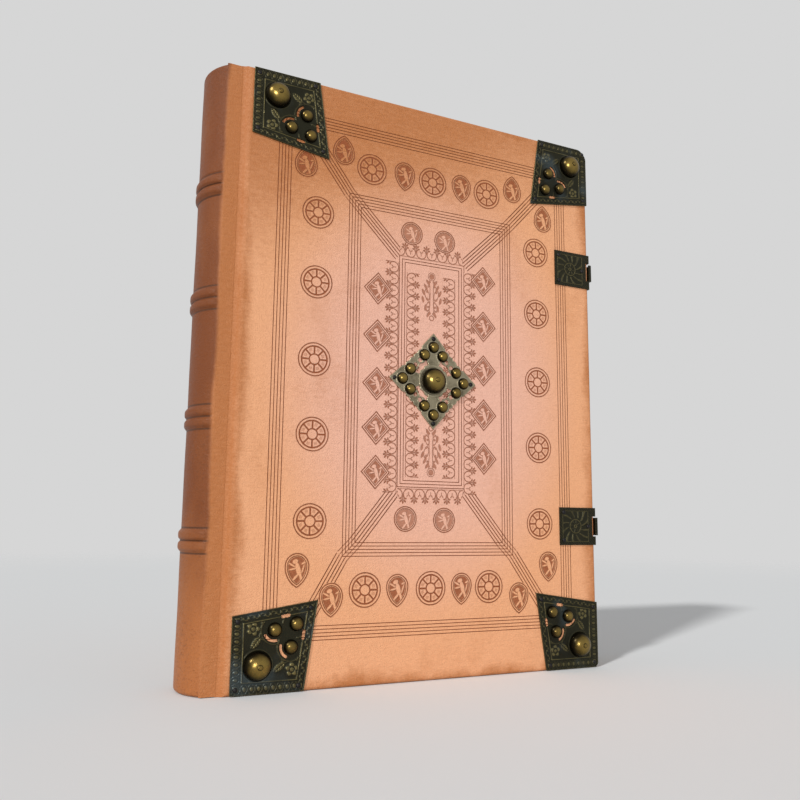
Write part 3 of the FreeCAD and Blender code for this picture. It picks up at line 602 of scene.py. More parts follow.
def wheel_pattern(u, v):
    """Two rings, a hub ring and eight spokes; each petal between spokes has a shaded middle."""
    far = (u * u + v * v).root()
    eighth = math.pi / 4
    turn = u.maths("ARCTAN2", v).near(eighth)
    beside = far * turn.sine()
    ring = line(far - 10.3, 0.6).higher(line(far - 8.3, 0.9))
    spokes = inside(abs(beside) - 0.48) * inside(abs(far - 5.9) - 2.5)
    hub = line(far - 3.3, 0.75)
    wedge = inside(abs(far - 6.2) - 0.9) * inside(abs(abs(turn) - eighth / 2) * far - 0.95)
    return ring.higher(spokes).higher(hub).higher(wedge * 0.35)


def diamond_pattern(u, v):
    """A doubled diamond with a small beast on a sunk ground."""
    shape = (abs(u) / 9.6 + abs(v) / 10.4 - 1) * 7.05
    ground = inside(shape + 2.0) * (1 - inside(rampant_beast(u * 0.95, v * 0.95)))
    return line(shape, 0.55).higher(line(shape + 1.3, 0.45)).higher(ground * 0.8)


def round_pattern(u, v):
    """A doubled ring with a small beast on a sunk ground."""
    shape = circle(u, v, (0, 0), 7.7)
    ground = inside(shape + 1.6) * (1 - inside(rampant_beast(u, v)))
    return line(shape, 0.55).higher(line(shape + 1.1, 0.4)).higher(ground * 0.66)


def row_pattern(u, v):
    """Open rings side by side, with a five-lobed flower on a stem between each two and a sprout in each."""
    step = u.near(ROW_PITCH)
    other = (u + ROW_PITCH / 2).near(ROW_PITCH)
    rings = line(circle(step, v, (0, -1.1), 3.55), 0.55) * v.fade(1.9, 1.5)
    base = line(v + 4.6, 0.4)
    sprout = line(step, 0.5) * inside(abs(v + 1.6) - 1.2)
    sprout = sprout.higher(inside(ellipse(abs(step), v, (0.75, -0.2), (0.35, 0.9), -35), 0.12))
    lobes = joined(
        [
            ellipse(other, v, (0, 3.9), (0.6, 1.0)),
            ellipse(abs(other), v, (1.35, 3.1), (0.55, 1.2), -42),
            ellipse(abs(other), v, (1.75, 1.5), (0.5, 1.0), -85),
        ]
    )
    stem = line(other, 0.6) * inside(abs(v - 0.9) - 1.9)
    return rings.higher(base * 0.7).higher(sprout * 0.8).higher(inside(lobes, 0.14)).higher(stem) * 0.85


def palmette_pattern(u, v):
    """A tall bouquet: a ball on a stem, pairs of curled leaves that swell and then close to a point."""
    side = abs(u)
    shapes = [circle(u, v, (0, 14.6), 1.9)]
    for middle, reach, turn in PALMETTE_LEAVES:
        shapes.append(ellipse(side, v, (reach, middle), (0.9, 2.3), turn))
        shapes.append(circle(side, v, (reach * 0.55, middle + 0.6), 0.75))
    stems = line(side - 1.1 - abs(v - 2) * 0.05, 0.45) * inside(abs(v - 1) - 11.5)
    loops = line(ellipse(side, v, (3.4, 1.6), (1.6, 3.6), -12), 0.45)
    loops = loops.higher(line(ellipse(side, v, (2.7, -6.4), (1.3, 3.2), 12), 0.45))
    foot = line(circle(u, v, (0, -14.2), 1.6), 0.6)
    ball = line(circle(u, v, (0, 14.6), 2.7), 0.4)
    return inside(joined(shapes), 0.15).higher(stems).higher(loops).higher(foot).higher(ball) * 0.72


def metal(name, colour, rubbed, dark, rough, cloud_scale, painted_sheen=None):
    """Old metal: the recesses keep a dark patina, the relief is rubbed bright, and stains drift over it;
    where given, patches of a bluish painted reflection lie over it.
    """
    finish = Finish(name)
    height = finish.relief()
    cloud = finish.noise(cloud_scale, 4, 0.6)
    fine = finish.noise(cloud_scale * 9, 3, 0.65)
    tone = finish.blend((height + (fine - 0.5) * 0.35).fade(0.25, 0.95), colour, rubbed)
    tone = finish.blend((cloud - (height * 0.25)).fade(0.38, 0.72) * 0.75, tone, dark)
    # Painted reflection: patches of a bluish sheen laid into the colour.
    if painted_sheen is not None:
        tone = finish.blend(finish.noise(cloud_scale * 0.7, 2, 0.5).fade(0.52, 0.72) * 0.6, tone, painted_sheen)
    roughness = rough + (cloud - 0.5) * 0.25 + (fine - 0.5) * 0.2
    normal = finish.bump(fine + finish.noise(cloud_scale * 40, 2, 0.5) * 0.4, 0.00012)
    return finish.set(Base_Color=tone, Metallic=0.92, Roughness=roughness, Normal=normal)


def boss_brass():
    """Domes of brass: bright on top and darker towards the foot, partly tarnish and partly painted light and
    shade.
    """
    colours = bpy.context.scene.codex_colours
    finish = Finish("boss_brass")
    height = finish.relief()
    fine = finish.noise(260, 4, 0.65)
    wide = finish.noise(70, 3, 0.55)
    # Painted light and shade: bright on top, dark towards the foot, partly tarnish.
    bright = (height + (fine - 0.5) * 0.30 + (wide - 0.5) * 0.25).fade(0.5, 1.1)
    tone = finish.blend(bright, colours.tarnish_and_painted_shade_brass, colours.brass)
    tone = finish.blend((fine * 0.6 + wide * 0.4).fade(0.56, 0.72) * 0.5, tone, colours.bronze)
    roughness = 0.24 + (fine - 0.5) * 0.2 + height.fade(1.0, 0.0) * 0.15
    normal = finish.bump(fine + finish.noise(900, 2, 0.6) * 0.3, 0.00014)
    return finish.set(Base_Color=tone, Metallic=0.95, Roughness=roughness, Normal=normal)


def nail_iron():
    """Forged iron, nearly black, with a little rust."""
    colours = bpy.context.scene.codex_colours
    finish = Finish("nail_iron")
    fine = finish.noise(900, 3, 0.7)
    tone = finish.blend(fine.fade(0.55, 0.75) * 0.5, colours.iron, (0.10, 0.045, 0.02))
    normal = finish.bump(fine, 0.0002)
    return finish.set(Base_Color=tone, Metallic=0.8, Roughness=0.42 + (fine - 0.5) * 0.3, Normal=normal)


def leaf_paper():
    """Thin lines and uneven gatherings across the thickness, with stains.

    They stop at the shoulders' ends, which are the block's widest place, and still show on the outer leaves.
    """
    colours = bpy.context.scene.codex_colours
    finish = Finish("leaf_paper")
    half = (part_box("text_block")[1][1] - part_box("text_block")[0][1]) * 500
    edges = abs(finish.axes()[1] - MIDDLE_Y).fade(half - 0.25, half - 0.5)
    leaf = finish.noise(60, 2, 0.5, (1, 70, 1))
    gathering = finish.noise(11, 1, 0.5, (0.5, 32, 0.5))
    stain = finish.noise(13, 4, 0.6)
    tone = finish.blend(leaf.fade(0.35, 0.65) * edges * 0.55, colours.paper, (0.52, 0.40, 0.24))
    tone = finish.blend(gathering.fade(0.5, 0.62) * edges * 0.3, tone, (0.40, 0.28, 0.15))
    tone = finish.blend(stain.fade(0.5, 0.8) * 0.45, tone, (0.45, 0.30, 0.16))
    normal = finish.bump((leaf + gathering) * edges, 0.0004)
    return finish.set(Base_Color=tone, Roughness=0.82 + (stain - 0.5) * 0.15, Normal=normal)


def lining_paper():
    """The pasted-down leaf, with laid fibres, foxing and the turn-ins' darker ghost along its edges."""
    finish = Finish("lining_paper")
    x, y, z = finish.axes()
    edge = (x - 4).lower(COVER_WIDTH - 4 - x).lower(z - 4).lower(COVER_HEIGHT - 4 - z)
    fibre = finish.noise(900, 4, 0.7, (1, 1, 0.3))
    foxing = finish.noise(70, 5, 0.65)
    paper = bpy.context.scene.codex_colours.paper
    tone = finish.blend(foxing.fade(0.6, 0.72) * 0.6, paper, (0.42, 0.24, 0.10))
    tone = finish.blend((edge + (foxing - 0.5) * 18).fade(17, 6) * 0.45, tone, (0.46, 0.31, 0.17))
    tone = finish.blend(fibre.fade(0.4, 0.7) * 0.2, tone, (0.6, 0.5, 0.34))
    normal = finish.bump(fibre, 0.0002)
    return finish.set(Base_Color=tone, Roughness=0.86 + (fibre - 0.5) * 0.1, Normal=normal)


def board_wood(name, light, along):
    """Split wood: rings stretched along the grain, with dark pores."""
    finish = Finish(name)
    stretch = (1, 1, 0.06) if along == "z" else (0.06, 1, 1)
    ring = finish.noise(90, 4, 0.6, stretch)
    pore = finish.noise(1100, 3, 0.7, stretch)
    dark = tuple(channel * 0.4 for channel in light)
    tone = finish.blend(ring.fade(0.35, 0.68), light, dark)
    tone = finish.blend(pore.fade(0.58, 0.75) * 0.6, tone, dark)
    normal = finish.bump(ring + pore, 0.0003)
    return finish.set(Base_Color=tone, Roughness=0.7 + (pore - 0.5) * 0.2, Normal=normal)


def hemp_cord():
    """Twisted hemp: slanting strands over fine fibres."""
    finish = Finish("hemp_cord")
    x, y, z = finish.axes()
    strand = ((y * 1.0 + x * 0.6 + z * 1.4) * 2.6).sine()
    fibre = finish.noise(2600, 3, 0.7)
    tone = finish.blend(strand.fade(-0.6, 0.6), (0.30, 0.21, 0.11), (0.62, 0.50, 0.32))
    tone = finish.blend(fibre.fade(0.45, 0.7) * 0.35, tone, (0.25, 0.17, 0.09))
    normal = finish.bump(strand + fibre, 0.0003)
    return finish.set(Base_Color=tone, Roughness=0.85 + (fibre - 0.5) * 0.1, Normal=normal)


def endband_thread():
    """Threads wound side by side round the endband, in two faded colours by turns."""
    finish = Finish("endband_thread")
    u, v = finish.own_axes()
    thread = (u * (2 * math.pi / 0.8)).sine()
    colour_turn = (u * (2 * math.pi / 6.4)).sine().fade(-0.1, 0.1)
    fibre = finish.noise(3000, 2, 0.6)
    tone = finish.blend(colour_turn, (0.60, 0.50, 0.34), (0.32, 0.09, 0.05))
    tone = finish.blend(thread.fade(-0.3, -1.0) * 0.7, tone, (0.10, 0.06, 0.04))
    normal = finish.bump(thread + fibre * 0.3, 0.0003)
    return finish.set(Base_Color=tone, Roughness=0.75 + (fibre - 0.5) * 0.1, Normal=normal)


def strap_leather():
    """Thicker, darker leather of the straps, with a fine grain and cloudy stains."""
    finish = Finish("strap_leather")
    grain = finish.cells(1100).fade(0.0, 0.7)
    cloud = finish.noise(60, 4, 0.6)
    fine = finish.noise(900, 3, 0.7)
    tone = finish.blend(cloud.fade(0.35, 0.7), (0.23, 0.085, 0.03), (0.10, 0.036, 0.014))
    tone = finish.blend((1 - grain) * 0.4, tone, (0.05, 0.02, 0.01))
    normal = finish.bump(grain + fine * 0.6, 0.0002)
    return finish.set(Base_Color=tone, Roughness=0.5 + (fine - 0.5) * 0.25, Normal=normal)


def catch_bronze(name, middle_x, middle_z, wide, high, face):
    """Embossed dark bronze: a rosette in rings with leaves radiating from it, inside a beaded border."""
    colours = bpy.context.scene.codex_colours
    finish = Finish(name)
    x, y, z = finish.axes()
    u = (x if face == "xz" else y) - middle_x
    v = z - middle_z
    far = (u * u + v * v).root()
    angle = u.maths("ARCTAN2", v)
    petals = (angle * 8).sine() * far.fade(1.0, 2.2) * far.fade(4.6, 3.8)
    rings = line(far - 4.7, 0.7).higher(line(far - 1.0, 0.8))
    leaves = (angle * 12 + far * 0.5).sine() * far.fade(5.2, 6.2)
    border = (abs(u) - (wide - 1.8)).higher(abs(v) - (high - 1.8))
    leaves = leaves * border.fade(0.0, -0.4)
    beads = ((u + v) * 3.1).sine() * border.fade(0.1, 0.5)
    height = (petals * 0.7).higher(rings).higher(leaves * 0.8).higher(line(border, 0.5)).higher(beads * 0.6)
    fine = finish.noise(600, 3, 0.6)
    cloud = finish.noise(80, 4, 0.6)
    rubbed = (height + (fine - 0.5)).fade(0.35, 1.1)
    tone = finish.blend(rubbed * 0.7, colours.bronze, colours.rubbed_bronze)
    tone = finish.blend(height.fade(0.1, -0.6), tone, (0.025, 0.022, 0.014))
    tone = finish.blend(cloud.fade(0.45, 0.75) * 0.5, tone, (0.04, 0.036, 0.02))
    normal = finish.bump(height, 0.0006, finish.bump(fine, 0.0001))
    return finish.set(Base_Color=tone, Metallic=0.9, Roughness=0.42 + (fine - 0.5) * 0.3, Normal=normal)


def grid_faces(rows, columns, close_rows=False, close_columns=False):
    """Corner numbers of the quads between the points of a grid, numbered row by row."""
    index = np.arange(rows * columns).reshape(rows, columns)
    if close_rows:
        index = np.concatenate((index, index[:1]))
    if close_columns:
        index = np.concatenate((index, index[:, :1]), axis=1)
    corners = (index[:-1, :-1], index[:-1, 1:], index[1:, 1:], index[1:, :-1])
    return np.stack(corners, axis=-1).reshape(-1, 4)


class Skin:
    """Surfaces collected for one piece: points in millimetres, faces, relief and pattern places."""

    def __init__(self):
        self.points = []
        self.faces = []
        self.relief = []
        self.pattern = []
        self.count = 0

    def add(self, points, faces, relief=None, pattern=None):
        points = np.asarray(points, dtype=float).reshape(-1, 3)
        number = len(points)
        relief = np.zeros(number) if relief is None else relief
        pattern = np.zeros((number, 2)) if pattern is None else pattern
        self.points.append(points)
        self.faces += (np.asarray(faces) + self.count).tolist()
        self.relief.append(np.asarray(relief, dtype=float).reshape(-1))
        self.pattern.append(np.asarray(pattern, dtype=float).reshape(-1, 2))
        self.count += number

    def sheet(self, points, relief=None, pattern=None, close_rows=False, close_columns=False):
        """Adds a grid of points, shaped rows by columns by three."""
        rows, columns = points.shape[:2]
        self.add(points, grid_faces(rows, columns, close_rows, close_columns), relief, pattern)

    def fan(self, points, turn_round=False):
        """Adds a flat face over a ring of points."""
        number = len(points)
        order = np.arange(number)
        if turn_round:
            order = order[::-1]
        self.add(points, [order.tolist()])

    def tube(self, points, pattern=None):
        """Adds a bar of closed sections, shaped sections by corners by three, with both its ends."""
        self.sheet(points, pattern=pattern, close_columns=True)
        self.fan(points[0])
        self.fan(points[-1], turn_round=True)

    def turned(self, profile, sides, middle, axis, relief=(0.0, 1.0), squeeze=None):
        """Turns a profile of radius and lift round an axis and closes it at its last point, on the axis."""
        axis = np.asarray(axis, dtype=float)
        across = np.array((0.0, 0.0, 1.0))
        side = np.cross(axis, across)
        angle = np.linspace(0, 2 * np.pi, sides, endpoint=False)
        ring = np.cos(angle)[:, None] * across + np.sin(angle)[:, None] * side
        radius, lift = np.array(profile[:-1], dtype=float).T
        rings = np.asarray(middle) + radius[:, None, None] * ring + lift[:, None, None] * axis
        pole = np.asarray(middle) + profile[-1][1] * axis
        number = len(radius) * sides
        faces = grid_faces(len(radius), sides, close_columns=True).tolist()
        last = number - sides + np.arange(sides)
        fan = np.stack((last, np.roll(last, -1), np.full(sides, number)), axis=-1).tolist()
        share = np.append(np.repeat(lift / profile[-1][1], sides), 1.0)
        height = relief[0] + (relief[1] - relief[0]) * np.clip(share, 0, 1)
        points = np.concatenate((rings.reshape(-1, 3), pole[None]))
        self.points.append(points)
        self.faces += [[corner + self.count for corner in face] for face in faces + fan]
        self.relief.append(height)
        self.pattern.append(np.zeros((len(points), 2)))
        self.count += len(points)

    def piece(self, name, material, sharp=40.0):
        """Makes the object, with smooth shading up to an angle in degrees."""
        mesh = bpy.data.meshes.new(name)
        points = place(np.concatenate(self.points))
        mesh.from_pydata(points.tolist(), [], self.faces)
        mesh.attributes.new("relief", "FLOAT", "POINT").data.foreach_set("value", np.concatenate(self.relief))
        corners = np.zeros(len(mesh.loops), dtype=np.int32)
        mesh.loops.foreach_get("vertex_index", corners)
        pattern = np.concatenate(self.pattern)[corners]
        mesh.uv_layers.new(name="pattern").data.foreach_set("uv", pattern.reshape(-1))
        mesh.shade_smooth()
        mesh.set_sharp_from_angle(angle=math.radians(sharp))
        mesh.materials.append(material)
        made = bpy.data.objects.new(name, mesh)
        bpy.context.scene.collection.objects.link(made)
        return made


def dress(node, material):
    """Gives a solid of the frame its material."""
    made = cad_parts[node]
    made.data.materials.clear()
    made.data.materials.append(material)


def dome_profile(radius, height, foot=0.25, steps=12):
    """A short upright foot and a quarter ellipse over it: radius cos t, foot + (height - foot) sin t."""
    turn = np.linspace(0, math.pi / 2, steps)
    curve = [(radius * math.cos(t), foot + (height - foot) * math.sin(t)) for t in turn[:-1]]
    return [(radius, 0.0)] + curve + [(0.0, height)]


def trim_grid(u, v, cell, metal_distance):
    """Moves grid points near an edge onto it, along the edge's own slope, and says which points are metal."""
    small = cell * 0.1
    for _ in range(2):
        distance = metal_distance(u, v)
        slope_u = (metal_distance(u + small, v) - metal_distance(u - small, v)) / (2 * small)
        slope_v = (metal_distance(u, v + small) - metal_distance(u, v - small)) / (2 * small)
        steep = slope_u**2 + slope_v**2 + 1e-9
        close = (np.abs(distance) < cell * 0.75) & (steep > 0.1)
        u = np.where(close, u - distance * slope_u / steep, u)
        v = np.where(close, v - distance * slope_v / steep, v)
    return u, v, metal_distance(u, v) > -cell * 0.2


def plate_surface(skin, u, v, metal_here, points, relief):
    """Adds the cells whose four corners are metal, without the points that none of them uses."""
    faces = grid_faces(*u.shape)
    kept = faces[metal_here.reshape(-1)[faces].all(axis=1)]
    used, renumbered = np.unique(kept, return_inverse=True)
    kept = renumbered.reshape(kept.shape)
    points = points.reshape(-1, 3)[used]
    sample = points[kept[: len(kept) : max(1, len(kept) // 50)]]
    facing = np.cross(sample[:, 1] - sample[:, 0], sample[:, 3] - sample[:, 0])[:, 1].sum()
    if facing > 0:
        kept = kept[:, ::-1]
    skin.add(points, kept, relief.reshape(-1)[used])


def thicken(piece, thickness):
    """Gives a plate its thickness below its face."""
    wall = piece.modifiers.new("thickness", "SOLIDIFY")
    wall.thickness = thickness / 1000
    wall.offset = -1


def bump_between(distance, start, end):
    """Smooth step from 1 to 0 as distance goes from start to end."""
    t = np.clip((distance - start) / (end - start), 0, 1)
    return 1 - t * t * (3 - 2 * t)


def corner_distance(u, v, corner_radius):
    """Signed distance inside a corner plate's metal: its openings and its rounded outer corner."""
    found = np.full(u.shape, 50.0)
    for ku, kv in KNOB_PLACES[:2]:
        far = np.hypot(u - ku, v - kv)
        towards = math.atan2(BOSS_PLACE - kv, BOSS_PLACE - ku)
        turn = np.arctan2(v - kv, u - ku) - towards
        turn = np.abs((turn + np.pi) % (2 * np.pi) - np.pi)
        opening = np.maximum(np.abs(far - 6.1) - 0.8, far * (turn - math.radians(43)))
        found = np.minimum(found, opening)
    lean = math.atan2(PLATE_TIP - PLATE_SIDE, PLATE_TIP)
    for su, sv, turn in ((31.5, 42.6, lean), (42.6, 31.5, math.pi / 2 - lean)):
        along = (u - su) * math.cos(turn) + (v - sv) * math.sin(turn)
        beside = (v - sv) * math.cos(turn) - (u - su) * math.sin(turn)
        scallop = 0.25 * np.cos(along * 3.4)
        found = np.minimum(found, np.maximum(np.abs(along) - 2.8, np.abs(beside) - 1.0 + scallop * 0.6))
    if corner_radius:
        du = np.maximum(corner_radius - u, 0)
        dv = np.maximum(corner_radius - v, 0)
        found = np.minimum(found, corner_radius - np.hypot(du, dv) + 1e-6)
    return found


def rosette(u, v, middle, radius):
    """Five round petals about a button: 1 on the petals and the button, 0 outside them."""
    du = u - middle[0]
    dv = v - middle[1]
    far = np.hypot(du, dv)
    turn = np.arctan2(dv, du)
    edge = radius * (0.72 + 0.28 * np.abs(np.cos(2.5 * turn)))
    petals = bump_between(far, edge - 0.9, edge) * (0.45 + 0.55 * np.abs(np.cos(2.5 * turn)) ** 0.6)
    groove = bump_between(np.abs(far - radius * 0.36), 0.15, 0.5)
    return petals * (1 - 0.9 * groove)


def leaf(u, v, middle, radii, turn):
    """A pointed leaf with a midrib and slanting veins."""
    c = math.cos(math.radians(turn))
    s = math.sin(math.radians(turn))
    along = (u - middle[0]) * c + (v - middle[1]) * s
    beside = (v - middle[1]) * c - (u - middle[0]) * s
    share = np.clip(1 - (along / radii[0]) ** 2, 0, 1)
    width = radii[1] * share**0.8
    body = bump_between(np.abs(beside), width - 0.45, width + 0.05) * (share > 0)
    rib = bump_between(np.abs(beside), 0.12, 0.4)
    veins = 0.25 * np.cos((along + np.abs(beside) * 1.2) * 3.6)
    return body * (0.75 + veins) * (1 - 0.6 * rib)


def corner_height(u, v):
    """Relief of a corner plate from 0 to 1: beaded and scrolled borders round a field of plants."""
    lean = (PLATE_TIP - PLATE_SIDE) / PLATE_TIP
    shrink = math.sqrt(1 + lean * lean)
    right = (PLATE_SIDE + lean * v - u) / shrink
    top = (PLATE_SIDE + lean * u - v) / shrink
    outer = np.minimum(u, v)
    inner = np.minimum(right, top)
    along_outer = np.where(u < v, v, u)
    along_inner = np.where(right < top, v, u)
    height = np.zeros(u.shape)
    ridge = bump_between(np.abs(outer - PLATE_BORDER - 0.4), 0.15, 0.5) * (inner > INNER_BORDER)
    inner_ridge = bump_between(np.abs(inner - INNER_BORDER - 0.4), 0.15, 0.5) * (outer > PLATE_BORDER)
    ridge = np.maximum(ridge, inner_ridge)
    height = np.maximum(height, 0.9 * ridge)
    height = np.maximum(height, 0.7 * bump_between(np.minimum(outer, inner), 0.25, 0.6))
    step = (along_outer + 2.1) % 4.2 - 2.1
    egg = np.hypot(step / 1.35, (outer - 3.1) / 1.9)
    bead = bump_between(egg, 0.55, 0.95) * 0.8
    husk = bump_between(np.abs(egg - 1.35), 0.08, 0.26) * 0.6
    dart = bump_between(np.hypot((np.abs(step) - 2.1) / 0.5, (outer - 3.1) / 1.6), 0.5, 1.0) * 0.6
    outer_band = bump_between(np.abs(outer - 3.1), 2.3, 2.6) * (inner > 1.5) * (outer <= inner + 3)
    height = np.maximum(height, np.maximum(np.maximum(bead, husk), dart) * outer_band)
    wave = np.sin(along_inner * 2 * np.pi / 6.4)
    stem = bump_between(np.abs(inner - 2.6 - 1.1 * wave), 0.2, 0.55) * 0.75
    curl = (along_inner + 1.6) % 3.2 - 1.6
    bud = bump_between(np.hypot(curl, inner - 2.6 + 1.1 * wave), 0.45, 0.85) * 0.8
    inner_band = bump_between(np.abs(inner - 2.6), 1.9, 2.2) * (outer > PLATE_BORDER - 1)
    height = np.maximum(height, np.maximum(stem, bud) * inner_band)
    field = (outer > PLATE_BORDER + 1.0) & (inner > INNER_BORDER + 1.0)
    plants = np.zeros(u.shape)
    for a, b in ((u, v), (v, u)):
        plants = np.maximum(plants, rosette(a, b, (12.4, 36.0), 4.3))
        plants = np.maximum(plants, leaf(a, b, (14.2, 28.4), (4.6, 2.1), 52))
        plants = np.maximum(plants, leaf(a, b, (19.6, 38.6), (3.6, 1.5), -12) * 0.9)
        stalk = np.abs(np.hypot(a - 22.5, b - 22.5) - 9.6)
        plants = np.maximum(plants, bump_between(stalk, 0.2, 0.5) * 0.6 * (a < b - 3))
        curl_in = np.abs(np.hypot(a - 18.3, b - 31.8) - 2.0)
        plants = np.maximum(plants, bump_between(curl_in, 0.2, 0.5) * 0.65)
    for ku, kv in KNOB_PLACES:
        ring = np.abs(np.hypot(u - ku, v - kv) - 8.0)
        plants = np.maximum(plants, bump_between(ring, 0.25, 0.65) * 0.6 * (np.hypot(u - 33, v - 33) > 6))
        plants = np.where(np.hypot(u - ku, v - kv) < 7.4, 0, plants)
    plants = np.where(np.hypot(u - BOSS_PLACE, v - BOSS_PLACE) < BOSS_RADIUS + 1.4, 0, plants)
    collar = bump_between(np.abs(np.hypot(u - BOSS_PLACE, v - BOSS_PLACE) - BOSS_RADIUS - 0.6), 0.25, 0.7)
    return np.maximum(height, np.maximum(plants * field, collar * 0.5))


def corner_spot(kind, u, v, lift):
    """Drawing place of a point of one corner plate, lift millimetres over the leather."""
    sideways, upwards, _ = CORNERS[kind]
    x = PLATE_EDGE + u if sideways > 0 else COVER_WIDTH - PLATE_INSET - u
    z = PLATE_INSET + v if upwards > 0 else COVER_HEIGHT - PLATE_INSET - v
    return np.stack(np.broadcast_arrays(x, -lift, z), axis=-1)


def centre_spot(u, v, lift):
    """Drawing place of a point of the centre plate, lift millimetres over the leather."""
    return np.stack(np.broadcast_arrays(CENTRE[0] + u, -lift, CENTRE[1] + v), axis=-1)


def centre_distance(u, v):
    """Signed distance inside the centre plate: a scalloped, pointed diamond with four curved openings."""
    a = np.maximum(np.abs(u), np.abs(v))
    b = np.minimum(np.abs(u), np.abs(v))
    core = (CENTRE_HALF - 3.6 - a - b) / math.sqrt(2)
    run = (a - b) / math.sqrt(2)
    found = core
    for number in range(4):
        middle = number * 4.1 + 2.0
        found = np.maximum(found, 2.55 - np.hypot(run - middle, core - 0.9))
    slope = math.hypot(1, 0.92)
    point = np.minimum(((CENTRE_HALF - a) * 0.92 - b) / slope, a - CENTRE_HALF + 9.5)
    found = np.maximum(found, point)
    far = np.hypot(u, v)
    turn = np.abs(np.arctan2(b, a) - math.pi / 4)
    wave = 0.45 * np.cos(turn * 14)
    opening = np.maximum(np.abs(far - 12.6) - 1.7 - wave, far * (turn - math.radians(25)))
    hook = np.hypot(a - 13.2, b - 9.9) - 1.6
    return np.minimum(found, np.minimum(opening, hook))


def centre_height(u, v):
    """Relief of the centre plate: collars round the domes, ribs between them and a rolled rim."""
    height = 0.6 * bump_between(centre_distance(u, v), 0.25, 0.7)
    height = np.maximum(height, 0.5 * bump_between(np.abs(np.hypot(u, v) - 10.1), 0.35, 0.8))
    for turn in range(4):
        c, s = ((1, 0), (0, 1), (-1, 0), (0, -1))[turn]
        for along, beside in PETAL_PLACES:
            far = np.hypot(u - along * c + beside * s, v - along * s - beside * c)
            height = np.maximum(height, 0.6 * bump_between(np.abs(far - PETAL_RADIUS - 0.35), 0.15, 0.5))
    ripple = 0.22 * (np.cos(u * 1.9) * np.cos(v * 1.9)) ** 2
    return np.maximum(height, ripple)


class CODEX_OT_covers(bpy.types.Operator):
    """Gives both covers their leather"""

    bl_idname = "codex.covers"
    bl_label = "Covering leather"

    def execute(self, context):
        leather = tan_leather()
        for name in ("front_leather", "back_leather"):
            dress(name, leather)
        return {"FINISHED"}


class CODEX_OT_stamps(bpy.types.Operator):
    """Presses drops, diamonds, rounds and palmettes into the front cover"""

    bl_idname = "codex.stamps"
    bl_label = "Blind stamps"

    def patches(self, name, material, spots, lift):
        """One thin patch for each spot: its middle, the way its own u runs, half sizes and shape."""
        skin = Skin()
        share = np.linspace(-1, 1, 17)
        s, t = np.meshgrid(share, share, indexing="ij")
        for (x, z), (dx, dz), half_u, half_v, shape in spots:
            if shape in ("round", "drop"):
                reach = np.maximum(np.abs(s), np.abs(t))
                far = np.maximum(np.hypot(s, t), 1e-9)
                u, v = s * reach / far * half_u, t * reach / far * half_v
                if shape == "drop":
                    slope = DROP_REACH * np.abs(s) / far
                    arch = np.sqrt(slope**2 + DROP_RADIUS**2 + 2 * DROP_REACH * DROP_RADIUS) - slope
                    scale = np.where(t > 0, (arch + 0.7) / half_u, 1)
                    u, v = u * scale, v * scale
            elif shape == "diamond":
                u, v = (s + t) * half_u / 2, (t - s) * half_v / 2
            else:
                u, v = s * half_u, t * half_v
            px = x + u * dx - v * dz
            pz = z + u * dz + v * dx
            points = np.stack((px, np.full(u.shape, -lift * 1000), pz), axis=-1)
            skin.sheet(points[:, ::-1], pattern=np.stack((u, v), axis=-1)[:, ::-1])
        made = skin.piece(name, material)
        check_facing(made)
        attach(made, "front_cover")

    def execute(self, context):
        lift = context.scene.codex_sizes.stamp_lift
        wheels = [(spot, (1, 0), 10.9, 10.9, "round") for spot in WHEELS]
        self.patches("wheel_stamps", stamped_leather("wheel_leather", wheel_pattern), wheels, lift)
        half = DROP_RADIUS + 0.7
        drops = [((x, z - 3.0), (1, 0), half, half, "drop") for x, z in DROPS_UP]
        leather = stamped_leather("drop_up_leather", drop_up_pattern)
        self.patches("drop_stamps_up", leather, drops, lift * 2)
        drops = [((x, z + 1.6), (-1, 0), half, half, "drop") for x, z in DROPS_DOWN]
        leather = stamped_leather("drop_down_leather", drop_down_pattern)
        self.patches("drop_stamps_down", leather, drops, lift * 2)
        diamonds = [(spot, (1, 0), 10.3, 11.1, "diamond") for spot in DIAMONDS]
        leather = stamped_leather("diamond_leather", diamond_pattern)
        self.patches("diamond_stamps", leather, diamonds, lift * 3)
        rounds = [(spot, (1, 0), 8.2, 8.2, "round") for spot in ROUNDS]
        self.patches("round_stamps", stamped_leather("round_leather", round_pattern), rounds, lift * 2)
        rows = []
        for start, end, side in ROWS:
            dx = end[0] - start[0]
            dz = end[1] - start[1]
            length = math.hypot(dx, dz)
            middle = ((start[0] + end[0]) / 2, (start[1] + end[1]) / 2)
            rows.append((middle, (side * dx / length, side * dz / length), length / 2, 5.0, "row"))
        self.patches("palmette_rows", stamped_leather("row_leather", row_pattern), rows, lift)
        tall = [((x, z), (up, 0), 8.0, 17.5, "row") for x, z, up in BIG_PALMETTES]
        self.patches("tall_palmettes", stamped_leather("palmette_leather", palmette_pattern), tall, lift)
        return {"FINISHED"}


def check_facing(piece):
    """Turns a patch's faces round where they don't look out of the front cover."""
    mesh = piece.data
    normals = np.zeros(len(mesh.polygons) * 3)
    mesh.polygons.foreach_get("normal", normals)
    if normals.reshape(-1, 3)[:, 1].mean() > 0:
        mesh.flip_normals()


